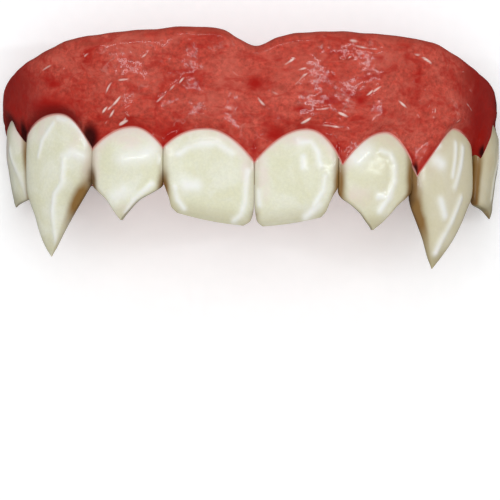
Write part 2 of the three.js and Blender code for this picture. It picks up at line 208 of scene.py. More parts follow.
PALE_PINK = table(
    "at height wide tall",
    (-0.335, 19.5, 2.6, 1.3),
    (-0.055, 16.6, 2.2, 3.4),
    (0.138, 17.7, 3.8, 2.2),
    (0.379, 18.4, 4.1, 2.0),
    (0.450, 12.0, 2.5, 2.0),
    (0.495, 7.6, 1.1, 1.5),
    (-0.558, 18.6, 2.0, 0.9),
    (-0.659, 14.4, 2.2, 0.7),
    (-0.110, 13.9, 1.8, 1.1),
    (0.263, 15.6, 1.8, 1.5),
    (-0.241, 20.6, 1.1, 1.0),
    (0.576, 13.6, 2.4, 1.5),
)
BROWNED = table(
    "at height wide tall",
    (0.673, 17.0, 3.6, 1.8),
    (-0.738, 16.6, 3.1, 1.4),
    (-0.165, 21.6, 6.7, 0.6),
    (0.489, 20.5, 5.3, 0.6),
    (0.085, 15.2, 0.8, 0.6),
    (-0.456, 20.2, 5.1, 0.6),
)

# Where two neighbouring teeth part below, and how brown the paint is there: partly a stain, partly painted
# shade in the groove.
NOTCHES = table(
    "at height stain",
    (-0.965, 3.5, 0.5),
    (-0.739, 2.9, 0.5),
    (-0.456, 4.3, 1),
    (-0.243, 4.2, 0.5),
    (0.012, 0.7, 0.45),
    (0.243, 3.4, 0.5),
    (0.466, 3.1, 1),
    (0.735, 2.4, 0.8),
)

# Brown paint along the teeth's edges, partly a stain and partly painted shade: a middle on the arch, a
# height and a size, in mm.
EDGE_STAINS_AND_SHADE = table(
    "at height wide tall",
    (-0.500, 2.4, 3.6, 6.0),
    (-0.735, 7.0, 1.2, 7.0),
    (-0.935, 2.6, 3.6, 2.0),
    (-0.240, 4.2, 1.0, 2.6),
    (0.250, 4.6, 1.2, 4.0),
    (0.460, 5.0, 1.6, 5.0),
    (0.476, 5.0, 2.2, 6.0),
    (0.495, 1.6, 3.0, 7.0),
    (0.745, 4.6, 1.1, 8.0),
    (0.920, 3.0, 5.0, 4.0),
)

# Pinkish wash on the necks and where two teeth meet, given the same way.
BLUSHED = table(
    "at height wide tall",
    (-0.505, 10.0, 2.4, 3.6),
    (-0.457, 6.6, 2.2, 4.8),
    (-0.345, 9.3, 3.4, 1.8),
    (-0.640, 10.8, 2.0, 2.4),
    (-0.880, 8.6, 3.6, 4.0),
    (-0.330, 1.8, 3.4, 1.8),
    (-0.010, 5.6, 1.2, 3.4),
    (0.035, 4.8, 1.4, 4.6),
    (0.130, 9.6, 3.6, 1.4),
    (0.245, 6.0, 1.6, 4.0),
    (0.300, 3.2, 3.0, 2.4),
    (0.400, 9.2, 3.2, 2.0),
    (0.470, 5.6, 2.0, 4.6),
    (0.530, 7.4, 2.8, 4.0),
    (0.800, 7.0, 2.0, 2.4),
)

# Depth behind the arch line, as shares of the tooth's thickness. rise is 0 at the tip or biting
# edge and 1 at the gum edge.
INCISOR_DEPTH = table(
    "rise front back",
    (0, 0.3, 0.6),
    (0.06, 0.17, 0.7),
    (0.16, 0.09, 0.8),
    (0.3, 0.03, 0.9),
    (0.55, 0, 1),
    (0.8, 0.045, 1),
    (1, 0.2, 0.94),
    (1.08, 0.32, 0.75),
)
FANG_DEPTH = table(
    "rise front back",
    (0, 0.44, 0.5),
    (0.1, 0.27, 0.68),
    (0.3, 0.07, 0.92),
    (0.55, -0.06, 1),
    (0.8, -0.02, 1),
    (1, 0.18, 0.92),
    (1.06, 0.3, 0.75),
)
PREMOLAR_DEPTH = table(
    "rise front back",
    (0, 0.41, 0.45),
    (0.06, 0.33, 0.6),
    (0.15, 0.26, 0.82),
    (0.4, 0.14, 1),
    (0.62, 0.03, 1),
    (0.85, 0.05, 0.98),
    (1, 0.2, 0.88),
    (1.06, 0.32, 0.75),
)

# from and to are the sides of a tooth's sector, as shares of the arch. Heights are shares of the
# crown height: neck is the gum edge's, feet are those of the biting edge at its left and right
# end, or of the tip, and bulge is how far the edge bows down between them. groove is how deep the
# flank lies at its neighbour, and stand how far the tooth stands further out, as shares of its
# thickness. flatness is 2 for an oval section and more for a squarer one. The outline gives
# both side edges at a rise, as shares of the tooth's sector, from its middle; a grooved flank
# runs on from there to the neighbour. ridges are low rounded ridges and swellings of the enamel:
# a line of places (share of the arch, mm above the bite line), how high and how wide, in mm.
# The ridges are also painted whiter: partly thicker enamel, partly a painted highlight.
TEETH = {
    "premolar_left": {
        "from": -0.965,
        "to": -0.739,
        "neck": 1.14,
        "feet": (0.205, 0.205),
        "bulge": 0,
        "groove": 0.36,
        "flatness": 2.1,
        "depth": PREMOLAR_DEPTH,
        "outline": table(
            "rise left right",
            (0, -0.19, -0.19),
            (0.035, -0.24, 0.05),
            (0.07, -0.28, 0.32),
            (0.1, -0.31, 0.48),
            (0.14, -0.35, 0.5),
            (0.3, -0.44, 0.5),
            (0.6, -0.49, 0.5),
            (0.85, -0.47, 0.5),
            (1, -0.4, 0.42),
            (1.06, -0.25, 0.25),
        ),
        "ridges": table(
            "line rise width",
            ([(-0.829, 8.7), (-0.8, 6.8), (-0.768, 5.2), (-0.75, 3.8)], 0.1, 0.5),
        ),
    },
    "fang_left": {
        "from": -0.739,
        "to": -0.457,
        "neck": 1.172,
        "feet": (-0.324, -0.324),
        "bulge": 0,
        "groove": 0.36,
        "flatness": 1.95,
        "depth": FANG_DEPTH,
        "outline": table(
            "rise left right",
            (0, -0.104, -0.104),
            (0.07, -0.186, -0.019),
            (0.17, -0.267, 0.08),
            (0.29, -0.341, 0.21),
            (0.39, -0.43, 0.33),
            (0.48, -0.49, 0.43),
            (0.55, -0.5, 0.5),
            (0.88, -0.5, 0.5),
            (1, -0.4, 0.4),
            (1.06, -0.25, 0.25),
        ),
        "ridges": table(
            "line rise width",
            ([(-0.543, 7.2), (-0.546, 4.8), (-0.576, 3.5), (-0.589, 1.6), (-0.594, -3.1)], 0.17, 0.38),
            ([(-0.589, 11.5), (-0.626, 9.5), (-0.64, 7.8)], 0.09, 0.32),
            ([(-0.576, 12), (-0.522, 11.5), (-0.489, 10.4), (-0.478, 9)], 0.07, 0.3),
            ([(-0.543, 7.8), (-0.515, 8.2), (-0.485, 7.7)], 0.1, 0.6),
        ),
    },
    "lateral_incisor_left": {
        "from": -0.457,
        "to": -0.243,
        "neck": 1.025,
        "feet": (0.059, 0.059),
        "bulge": 0,
        "groove": 0.18,
        "flatness": 2.4,
        "depth": INCISOR_DEPTH,
        "outline": table(
            "rise left right",
            (0, -0.11, -0.11),
            (0.1, -0.195, 0.016),
            (0.22, -0.293, 0.176),
            (0.31, -0.415, 0.387),
            (0.37, -0.49, 0.49),
            (0.45, -0.5, 0.5),
            (0.85, -0.5, 0.5),
            (1, -0.4, 0.4),
            (1.08, -0.25, 0.25),
        ),
        "ridges": table(
            "line rise width",
            ([(-0.353, 7.2), (-0.306, 7.6), (-0.275, 8.2)], 0.12, 1.1),
            ([(-0.382, 3.2), (-0.356, 3.8)], 0.09, 0.9),
            ([(-0.272, 4.6), (-0.326, 2.9), (-0.35, 1.4)], 0.08, 0.35),
            ([(-0.255, 7.8), (-0.253, 7)], 0.06, 0.3),
        ),
    },
    "central_incisor_left": {
        "from": -0.243,
        "to": 0.012,
        "neck": 1,
        "feet": (0.172, -0.015),
        "bulge": 0.03,
        "groove": 0.14,
        "flatness": 3.1,
        "depth": INCISOR_DEPTH,
        "outline": table(
            "rise left right",
            (0, -0.355, 0.38),
            (0.06, -0.418, 0.461),
            (0.15, -0.437, 0.49),
            (0.27, -0.476, 0.5),
            (0.36, -0.5, 0.5),
            (0.8, -0.5, 0.5),
            (1, -0.4, 0.4),
            (1.08, -0.25, 0.25),
        ),
        "ridges": table(
            "line rise width",
            ([(-0.198, 7.9), (-0.17, 8.6), (-0.133, 9.0), (-0.092, 9.1), (-0.05, 8)], 0.11, 0.42),
            ([(-0.006, 6), (-0.012, 4), (-0.014, 2.5), (-0.025, 1.2), (-0.045, 0.5)], 0.11, 0.36),
            ([(-0.207, 4.2), (-0.202, 2.9), (-0.184, 1.9)], 0.1, 0.36),
            ([(-0.175, 4.4), (-0.15, 4.4)], 0.06, 0.9),
        ),
    },
    "central_incisor_right": {
        "from": 0.012,
        "to": 0.247,
        "neck": 0.995,
        "feet": (-0.019, 0.127),
        "bulge": 0.025,
        "groove": 0.14,
        "flatness": 3.1,
        "depth": INCISOR_DEPTH,
        "outline": table(
            "rise left right",
            (0, -0.4, 0.3),
            (0.06, -0.47, 0.36),
            (0.15, -0.49, 0.4),
            (0.24, -0.5, 0.45),
            (0.32, -0.5, 0.5),
            (0.8, -0.5, 0.5),
            (1, -0.4, 0.4),
            (1.08, -0.25, 0.25),
        ),
        "ridges": table(
            "line rise width",
            ([(0.138, 9.2), (0.17, 9.2), (0.186, 8.2), (0.193, 6.5)], 0.11, 0.42),
            ([(0.207, 5.4), (0.202, 3.8), (0.178, 2.2)], 0.11, 0.36),
            ([(0.19, 2.3), (0.156, 0.9)], 0.06, 0.5),
            ([(0.147, 7.5), (0.147, 6.4)], 0.07, 0.4),
            ([(0.023, 3.7), (0.025, 2.3)], 0.07, 0.35),
        ),
    },
    "lateral_incisor_right": {
        "from": 0.247,
        "to": 0.47,
        "neck": 0.968,
        "feet": (-0.045, -0.045),
        "bulge": 0,
        "groove": 0.18,
        "flatness": 2.4,
        "depth": INCISOR_DEPTH,
        "outline": table(
            "rise left right",
            (0, -0.022, -0.022),
            (0.09, -0.123, 0.11),
            (0.17, -0.202, 0.206),
            (0.26, -0.333, 0.31),
            (0.33, -0.461, 0.42),
            (0.39, -0.5, 0.49),
            (0.45, -0.5, 0.5),
            (0.85, -0.5, 0.5),
            (1, -0.4, 0.4),
            (1.08, -0.25, 0.25),
        ),
        "ridges": table(
            "line rise width",
            ([(0.300, 7.4), (0.328, 8.2)], 0.14, 1.0),
            ([(0.37, 8.3), (0.397, 7.9), (0.41, 6.8), (0.41, 4.9), (0.394, 3.3), (0.366, 1.6)], 0.11, 0.4),
            ([(0.361, 3.2), (0.376, 3.2)], 0.06, 0.4),
        ),
    },
    "fang_right": {
        "from": 0.47,
        "to": 0.742,
        "neck": 1.02,
        "feet": (-0.453, -0.453),
        "bulge": 0,
        "groove": 0.36,
        "flatness": 1.95,
        "depth": FANG_DEPTH,
        "outline": table(
            "rise left right",
            (0, -0.179, -0.179),
            (0.09, -0.243, -0.049),
            (0.21, -0.302, 0.119),
            (0.34, -0.396, 0.265),
            (0.44, -0.47, 0.36),
            (0.5, -0.495, 0.42),
            (0.57, -0.5, 0.45),
            (0.88, -0.5, 0.46),
            (1, -0.38, 0.38),
            (1.06, -0.24, 0.26),
        ),
        "ridges": table(
            "line rise width",
            ([(0.651, 8.8), (0.636, 6.7), (0.609, 4.3)], 0.12, 0.4),
            ([(0.622, 9.3), (0.612, 7.4), (0.6, 5.5)], 0.07, 0.3),
            ([(0.636, 3.2), (0.602, 0.3), (0.57, -1.7), (0.556, -3)], 0.15, 0.42),
            ([(0.558, 2.9), (0.576, 1.1)], 0.07, 0.5),
            ([(0.545, 7.3), (0.56, 6.9)], 0.11, 0.8),
            ([(0.529, 8.3), (0.558, 9.0)], 0.06, 0.4),
        ),
    },
    "premolar_right": {
        "from": 0.742,
        "to": 0.968,
        "neck": 1.09,
        "stand": 0.18,
        "feet": (0.08, 0.08),
        "bulge": 0,
        "groove": 0.4,
        "flatness": 2.1,
        "depth": PREMOLAR_DEPTH,
        "outline": table(
            "rise left right",
            (0, 0.25, 0.25),
            (0.05, 0.05, 0.32),
            (0.09, -0.07, 0.36),
            (0.12, -0.3, 0.39),
            (0.15, -0.48, 0.41),
            (0.2, -0.5, 0.43),
            (0.5, -0.5, 0.49),
            (0.85, -0.5, 0.48),
            (1, -0.4, 0.4),
            (1.06, -0.25, 0.25),
        ),
        "ridges": table(
            "line rise width",
            ([(0.9, 9.8), (0.847, 6.1), (0.847, 3.2)], 0.1, 0.4),
        ),
    },
}


def length(name, description, default):
    """A size in millimetres for a PropertyGroup."""
    return bpy.props.FloatProperty(
        name=name, description=description + ", in millimetres", default=default, min=0.0
    )


def colour(name, description, default):
    return bpy.props.FloatVectorProperty(
        name=name, description=description, subtype="COLOR", size=3, min=0, max=1, default=default
    )


class DentureSizes(bpy.types.PropertyGroup):
    arch_half_width: length("Arch half width", "Half the width of the arch of tooth faces", 28.4)
    arch_depth: length("Arch depth", "From the leg ends to the face of the front teeth", 21.0)
    arch_squareness: bpy.props.FloatProperty(
        name="Arch squareness", description="2 is an ellipse, more is squarer", default=2.3, min=2
    )
    crown_height: length("Crown height", "From the bite line to the gum edge", 10.6)
    flange_height: length("Flange height", "From the bite line to the top of the gum border", 22.0)
    tooth_thickness: length("Tooth thickness", "From the face of a tooth to its back", 3.0)
    tooth_gap: length("Tooth gap", "Between two neighbouring teeth", 0.01)
    seat_depth: length("Seat depth", "From the arch line to the wall behind the teeth", 3.3)
    gum_swell: length("Gum swell", "How far the gum stands out over a root", 0.45)
    gum_hollow: length("Gum hollow", "How far the gum sinks between two roots", 0.35)
    border_roll: length("Border roll", "Radius of the rolled gum border", 1.1)
    flange_wall: length("Flange wall", "Thickness of the front flange", 2.3)
    back_wall: length("Back wall", "Thickness of the wall behind the teeth", 1.4)
    trough_width: length("Trough width", "Room for the wearer's own teeth", 6.4)
    tongue_wall: length("Tongue wall", "Thickness of the tongue-side wall", 1.4)
    tongue_wall_rise: length("Tongue wall rise", "Underside of the floor to the wall's top", 6.6)
    floor_wall: length("Floor wall", "Thickness of the channel's floor", 1.4)
    floor_drop: length("Floor drop", "From the lowest gum point to the floor's underside", 0.7)
    heel_inset: length("Heel inset", "How far the plain heels stand back", 1.1)
    gum_lap: length("Gum lap", "Width of the band where the gum thins out over a tooth", 1.7)
    gum_cover: length("Gum cover", "Least thickness of the gum over a neck", 0.22)
    fold_rise: length("Fold rise", "How far the folds in the gum skin stand out", 0.12)


class DentureColours(bpy.types.PropertyGroup):
    gum: colour("Gum", "Middle red of the gum", (0.46, 0.048, 0.030))
    gum_pale: colour("Pale gum", "Paler pink of the swellings", (0.57, 0.115, 0.080))
    # Cream of the fibres, and the painted highlight along the folds.
    gum_fibre_and_highlight: colour("Light gum", "Cream of the folds and fibres", (0.94, 0.76, 0.69))
    gum_thin: colour("Thin gum", "Pink where the gum thins out over a tooth", (0.78, 0.40, 0.34))
    gum_deep: colour("Deep gum", "Saturated red along the teeth", (0.37, 0.006, 0.003))
    # Painted shade: the darker crimson of the sides, where the gum turns away from the light.
    gum_side_shade: colour("Dark gum", "Crimson at the sides", (0.25, 0.004, 0.0015))
    gum_shade: colour("Shaded gum", "Near black between the side teeth", (0.03, 0.001, 0.001))
    gum_border: colour("Gum border", "Brownish red of the border", (0.34, 0.05, 0.03))
    tooth: colour("Tooth", "Ivory of the teeth", (0.755, 0.74, 0.54))
    # White of the mottle and of the ridges; on the ridges it is partly a painted highlight.
    tooth_white_and_highlight: colour("Light tooth", "White of the raised enamel", (0.93, 0.93, 0.90))
    # Partly painted shade: the warmer, darker ivory of the teeth on the right.
    tooth_tan_and_shade: colour("Tan tooth", "Warmer ivory of the teeth at one side", (0.62, 0.52, 0.33))
    tooth_neck: colour("Tooth neck", "Pinkish white of the necks", (0.82, 0.70, 0.63))
    tooth_edge: colour("Tooth edge", "Grey tan of the tips and edges", (0.45, 0.385, 0.22))
    # Partly painted shade: the warm brown along the teeth's edges, partly a stain.
    tooth_brown_and_shade: colour("Brown tooth", "Warm brown wash on the edges", (0.27, 0.14, 0.035))
    # Partly painted shade: olive brown in the grooves between the teeth, partly a stain.
    tooth_groove_stain_and_shade: colour("Tooth stain", "Olive brown between the teeth", (0.14, 0.065, 0.015))


class DentureStage(bpy.types.PropertyGroup):
    camera_height: length("Camera height", "From the floor to the camera", 421.0)
    camera_offset: length("Camera offset", "How far the camera stands below the plate's middle", 11.3)
    view_width: length("View width", "Width of the picture at the face of the front teeth", 55.0)
    floor: colour("Floor", "Colour of the floor", (0.97, 0.97, 0.97))
    shine: colour("Shine", "Colour of the lamps that the gloss mirrors", (0.86, 0.94, 1.0))


def sizes():
    return bpy.context.scene.denture_sizes


def colours():
    return bpy.context.scene.denture_colours


def read_table(rows, key, column, x):
    """A table's column at any keys, on a smooth curve that doesn't overshoot its rows."""
    keys = np.array([row[key] for row in rows], float)
    values = np.array([row[column] for row in rows], float)
    step = np.diff(keys)
    rate = np.diff(values) / step
    slope = np.concatenate([rate[:1], np.zeros(len(rows) - 2), rate[-1:]])
    turning = rate[:-1] * rate[1:] <= 0
    total = np.where(turning, 1.0, rate[:-1] + rate[1:])
    slope[1:-1] = np.where(turning, 0.0, 2 * rate[:-1] * rate[1:] / total)
    x = np.clip(x, keys[0], keys[-1])
    i = np.clip(np.searchsorted(keys, x, side="right") - 1, 0, len(step) - 1)
    t = (x - keys[i]) / step[i]
    rest = 1 - t
    return (
        values[i] * rest * rest * (1 + 2 * t)
        + values[i + 1] * t * t * (3 - 2 * t)
        + step[i] * t * rest * (slope[i] * rest - slope[i + 1] * t)
    )


def smooth_step(start, end, x):
    t = np.clip((x - start) / (end - start), 0, 1)
    return t * t * (3 - 2 * t)


def soft_maximum(a, b, rounding):
    return (a + b + np.sqrt((a - b) ** 2 + rounding * rounding)) / 2


def roughness_field(points, scale, seed):
    """Smooth noise from -1 to 1 at each point in mm; scale is in waves to the millimetre."""
    offset = Vector((seed * 7.31, seed * 3.17, seed * 5.71))
    return np.array([noise.noise(Vector(p) * scale + offset) for p in points])


def mark_field(marks, share, height, arch):
    """1 in the middle of each mark, fading out round it."""
    field = np.zeros(np.shape(share))
    for mark in marks:
        x = (share - mark["at"]) * arch.half_length / (mark["wide"] / 2)
        y = (height - mark["height"]) / (mark["tall"] / 2)
        field = np.maximum(field, np.exp(-0.7 * (x * x + y * y)))
    return field


def line_distance(line, share, height, arch):
    """Distance in mm from places on the arch to a line through a few places."""
    x, y = share * arch.half_length, height
    nearest = np.full(np.shape(share), 1e3)
    for (at0, y0), (at1, y1) in zip(line, line[1:]):
        x0, x1 = at0 * arch.half_length, at1 * arch.half_length
        run = (x1 - x0) ** 2 + (y1 - y0) ** 2
        t = np.clip(((x - x0) * (x1 - x0) + (y - y0) * (y1 - y0)) / run, 0, 1)
        nearest = np.minimum(nearest, np.hypot(x - x0 - t * (x1 - x0), y - y0 - t * (y1 - y0)))
    return nearest


class ArchLine:
    """The plan of the tooth faces: a squared half ellipse from the left heel to the right."""

    def __init__(self):
        size = sizes()
        self.half_width = size.arch_half_width
        self.depth = size.arch_depth
        self.squareness = size.arch_squareness
        self.angles = np.linspace(-math.pi / 2, math.pi / 2, 4001)
        x, z = self.curve(self.angles)
        run = np.concatenate([[0], np.cumsum(np.hypot(np.diff(x), np.diff(z)))])
        self.half_length = run[-1] / 2
        self.shares = run / self.half_length - 1

    def curve(self, angle):
        n = self.squareness
        across = (np.abs(np.sin(angle)) / self.half_width) ** n
        along = (np.abs(np.cos(angle)) / self.depth) ** n
        radius = (across + along) ** (-1 / n)
        return radius * np.sin(angle), radius * np.cos(angle)

    def place(self, share, out, height):
        """Row-frame points in metres from places in arch coordinates, in mm."""
        angle = np.interp(share, self.shares, self.angles)
        x, z = self.curve(angle)
        x0, z0 = self.curve(angle - 1e-3)
        x1, z1 = self.curve(angle + 1e-3)
        run = np.hypot(x1 - x0, z1 - z0)
        out_x, out_z = -(z1 - z0) / run, (x1 - x0) / run
        points = np.stack([x + out_x * out, height + BITE_LINE, z + out_z * out], axis=-1)
        return points * MM


def border_height(share):
    return sizes().flange_height * read_table(BORDER, "at", "height", share)


def gum_edge_height(share):
    """Height of the gum edge above the bite line, in mm."""
    crown = sizes().crown_height
    height = np.full(np.shape(share), crown * GUM_EDGE[0]["height"])
    for before, after in zip(GUM_EDGE, GUM_EDGE[1:]):
        inside = (share >= before["at"]) & (share <= after["at"])
        if "right" in before:
            crest, point, fullness = before, after, before["right"]
        elif "left" in after:
            crest, point, fullness = after, before, after["left"]
        else:
            height = np.where(inside, crown * before["height"], height)
            continue
        away = np.abs((share - crest["at"]) / (point["at"] - crest["at"]))
        drop = point["height"] - crest["height"]
        arc = crown * (crest["height"] + drop * np.minimum(away, 1) ** fullness)
        height = np.where(inside, arc, height)
    return height


def past_gum_edge(share, height, arch):
    """Distance from the gum edge, in mm: above 0 on the gum, below 0 on the teeth."""
    step = 0.004
    climb = gum_edge_height(share + step) - gum_edge_height(share - step)
    slope = climb / (2 * step * arch.half_length)
    return (height - gum_edge_height(share)) / np.sqrt(1 + np.minimum(slope * slope, 9))


def crest_height(share):
    crests = [row for row in GUM_EDGE if "left" in row]
    return sizes().crown_height * read_table(crests, "at", "height", share)


def root_share(share):
    """1 over the middle of a root, 0 between two roots."""
    result = np.zeros(np.shape(share))
    for tooth in TEETH.values():
        width = tooth["to"] - tooth["from"]
        middle = (tooth["from"] + tooth["to"]) / 2
        inside = np.abs(share - middle) <= width / 2
        swell = np.cos((share - middle) / width * math.pi) ** 2
        result = np.where(inside, swell, result)
    return result


def tooth_section(tooth, rise, arch):
    """Side edges, front, back and widest depth of a tooth at a rise, in mm."""
    width = (tooth["to"] - tooth["from"]) * arch.half_length
    thickness = sizes().tooth_thickness
    left = width * read_table(tooth["outline"], "rise", "left", rise)
    right = width * read_table(tooth["outline"], "rise", "right", rise)
    stand = tooth.get("stand", 0)
    front = thickness * (stand - read_table(tooth["depth"], "rise", "front", rise))
    back = thickness * (stand - read_table(tooth["depth"], "rise", "back", rise))
    return left, right, front, back, front + (back - front) * tooth["groove"]


def tooth_foot(tooth, x, arch):
    """Height of the tip, or of the biting edge under a place on the tooth."""
    width = (tooth["to"] - tooth["from"]) * arch.half_length
    low, high = tooth["feet"]
    bow = tooth["bulge"] * np.clip(1 - (2 * x / width) ** 2, 0, 1)
    return sizes().crown_height * (low + (high - low) * (x / width + 0.5) - bow)


def tooth_face_depth(share, height, arch):
    """Depth of the tooth face at a place on the arch, or of the gap between two teeth."""
    depth = np.full(np.shape(share), -0.2 * sizes().tooth_thickness)
    for tooth in TEETH.values():
        middle = (tooth["from"] + tooth["to"]) / 2
        inside = (share >= tooth["from"]) & (share <= tooth["to"])
        x = (share - middle) * arch.half_length
        foot = tooth_foot(tooth, x, arch)
        neck = sizes().crown_height * tooth["neck"]
        rise = (height - foot) / (neck - foot)
        left, right, front, _, waist = tooth_section(tooth, rise, arch)
        across = np.clip(np.abs(x - (left + right) / 2) / ((right - left) / 2), 0, 1)
        n = tooth["flatness"]
        face = waist + (front - waist) * (1 - across**n) ** (1 / n)
        depth = np.where(inside, face, depth)
    return depth


def add_attributes(bm, verts, fields):
    for name, values in fields.items():
        layer = bm.verts.layers.float.get(name) or bm.verts.layers.float.new(name)
        for v, value in zip(verts, values):
            v[layer] = value


def new_piece(name, bm, body, nodes, material):
    """Finishes a bmesh as a smooth piece that stands for the CAD nodes."""
    mesh = bpy.data.meshes.new(name)
    bm.to_mesh(mesh)
    bm.free()
    mesh.polygons.foreach_set("use_smooth", [True] * len(mesh.polygons))
    mesh.materials.append(material)
    piece = bpy.data.objects.new(name, mesh)
    bpy.context.collection.objects.link(piece)
    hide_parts(*nodes)
    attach(piece, body)
    return piece


def subdivide(piece, levels):
    modifier = piece.modifiers.new("Smooth", "SUBSURF")
    modifier.levels = modifier.render_levels = levels
    return modifier


# The gum plate.

THIN_LIP = 0.02  # mm of gum over the tooth at the gum edge
HEEL_LIP = -0.5  # mm, depth of the front past the last tooth
BORDER_WAVE = 0.12  # mm, uneven height of the border
BORDER_WAVES = 17  # to half the arch
BORDER_SEED = 3.1
SHOULDER_TOP = 4.4  # mm above the teeth's crests, where the channel starts to widen
SHOULDER = 2.6  # mm above the crests, where it is at its width
ROLL_STRETCH = 1.3  # height of the border's roll as a share of its radius
FACE_CROWDING = 1.15  # above 1, points lie closer at the gum edge
COVER_ROUNDING = 0.1  # mm
INNER_ROUNDING = 0.45  # mm
GUM_STATIONS = 700
FACE_POINTS = 88
ROLL_POINTS = 12
CORNER_POINTS = 2
SIDE_POINTS = 1


def gum_face_depth(share, level, lip, lap):
    """Depth of the gum's front at a level, 0 at the gum edge and 1 at the border's roll."""
    size = sizes()
    root = root_share(share)
    swell = size.gum_swell * root
    hollow = -size.gum_hollow * (1 - root)
    keys = np.array([0.0, 0.06, 0.17, 0.38, 0.65, 1.0])
    rows = [
        0.3 * swell + 1.3 * hollow,
        0.7 * swell + 1.3 * hollow,
        swell + hollow,
        0.9 * swell + 0.6 * hollow,
        0.4 * swell + 0.3 * hollow,
        np.full(np.shape(share), 0.25 * size.gum_swell),
    ]
    depth = np.zeros(np.shape(share))
    for k in range(len(keys) - 1):
        inside = (level >= keys[k]) & (level <= keys[k + 1])
        t = smooth_step(keys[k], keys[k + 1], level)
        depth = np.where(inside, rows[k] + (rows[k + 1] - rows[k]) * t, depth)
    lapped = np.sin(np.clip(level / lap, 0, 1) * math.pi / 2)
    return lip + (depth - lip) * (0.6 * lapped + 0.4 * smooth_step(0, lap, level))


def rounded_path(corners, radius):
    """Points along a row of straight walls with rounded corners, the ends left out."""
    path = []
    for k in range(1, len(corners) - 1):
        before, corner, after = (np.array(corners[k + j]) for j in (-1, 0, 1))
        to_before = np.linalg.norm(before - corner)
        to_after = np.linalg.norm(after - corner)
        cut = np.minimum(radius, 0.45 * np.minimum(to_before, to_after))
        start = corner + (before - corner) * cut / to_before
        end = corner + (after - corner) * cut / to_after
        if k > 1:
            previous = path[-1]
            for j in range(1, SIDE_POINTS + 1):
                path.append(previous + (start - previous) * j / (SIDE_POINTS + 1))
        for j in range(CORNER_POINTS + 1):
            t = j / CORNER_POINTS
            path.append(start * (1 - t) ** 2 + corner * 2 * t * (1 - t) + end * t * t)
    return path


def gum_section(share, arch):
    """The gum's section at one place on the arch, counterclockwise, as depths and heights in mm.
    The second array says how much of the skin's relief each point takes."""
    size = sizes()
    here = np.array([share])
    border = border_height(here)[0]
    border += BORDER_WAVE * noise.noise(Vector((share * BORDER_WAVES, BORDER_SEED, 0)))
    edge = gum_edge_height(here)[0]
    lip = tooth_face_depth(here, np.array([edge]), arch)[0] + THIN_LIP
    teeth_end = max(tooth["to"] for tooth in TEETH.values())
    heel = smooth_step(teeth_end - 0.005, teeth_end + 0.02, abs(share))
    lip = lip + (HEEL_LIP - lip) * heel
    seat = -(size.seat_depth + (size.heel_inset - size.seat_depth) * heel)
    trough = -(size.seat_depth + size.back_wall)
    tongue = trough - size.trough_width
    lowest = size.crown_height * min(row["height"] for row in GUM_EDGE)
    floor = lowest - size.floor_drop
    crest = crest_height(here)[0]
    flange_top = border - 2 * size.border_roll
    shoulder_top = min(crest + SHOULDER_TOP, flange_top - 0.3)
    shoulder = min(crest + SHOULDER, shoulder_top - 0.5)

    roll_height = ROLL_STRETCH * size.border_roll
    roll_start = border - roll_height
    level = np.linspace(0, 1, FACE_POINTS) ** FACE_CROWDING
    face_height = edge + (roll_start - edge) * level
    lap = size.gum_lap / (roll_start - edge)
    column = np.full(FACE_POINTS, share)
    face_depth = gum_face_depth(column, level, lip, lap)
    thick = THIN_LIP + size.gum_cover * smooth_step(0, size.gum_lap, face_height - edge)
    covered = tooth_face_depth(column, face_height, arch) + thick
    face_depth = np.where(level > 0, soft_maximum(face_depth, covered, COVER_ROUNDING), face_depth)
    turn = np.linspace(0, math.pi, ROLL_POINTS + 1)[1:]
    half_roll = (face_depth[-1] + size.flange_wall) / 2
    roll_depth = face_depth[-1] - half_roll * (1 - np.cos(turn))
    roll_top = roll_start + roll_height * np.sin(turn)

    inside = rounded_path(
        [
            (-size.flange_wall, roll_start),
            (-size.flange_wall, shoulder_top),
            (trough, shoulder),
            (trough, floor + size.floor_wall),
            (tongue, floor + size.floor_wall),
            (tongue, floor + size.tongue_wall_rise),
            (tongue - size.tongue_wall, floor + size.tongue_wall_rise),
            (tongue - size.tongue_wall, floor),
            (seat, floor),
            (seat, edge - 0.3),
            (lip, edge),
        ],
        INNER_ROUNDING,
    )
    depth = np.concatenate([face_depth, roll_depth, [p[0] for p in inside]])
    height = np.concatenate([face_height, roll_top, [p[1] for p in inside]])
    skin = np.concatenate(
        [
            smooth_step(0.0, 0.1, level),
            0.5 + 0.5 * np.cos(turn),
            np.zeros(len(inside)),
        ]
    )
    return depth, height, skin


# How far each kind of unevenness stands out, in mm.
LUMPS = 0.2
SMALL_LUMPS = 0.06
CREASES = 0.012
GRAIN = 0.018
STIPPLE = 0.008
FOLD_WIDTH = 0.11
FOLD_BEND = 0.1
SHORT_FOLD_SEED = 3
SHORT_FOLDS = 2.2  # to the square millimetre of a mark


def short_folds(arch):
    """Small wrinkles, scattered where the gum is stippled; they share the folds' painted highlight."""
    draw = random.Random(SHORT_FOLD_SEED)
    folds = []
    for mark in STIPPLED:
        for _ in range(int(SHORT_FOLDS * mark["wide"] * mark["tall"]) + 1):
            folds.append(
                {
                    "at": mark["at"] + draw.gauss(0, 0.3) * mark["wide"] / arch.half_length,
                    "height": mark["height"] + draw.gauss(0, 0.3) * mark["tall"],
                    "length": draw.uniform(0.4, 1.0),
                    "angle": draw.gauss(25, 45),
                    "rise": draw.uniform(0.2, 0.55),
                }
            )
    return folds


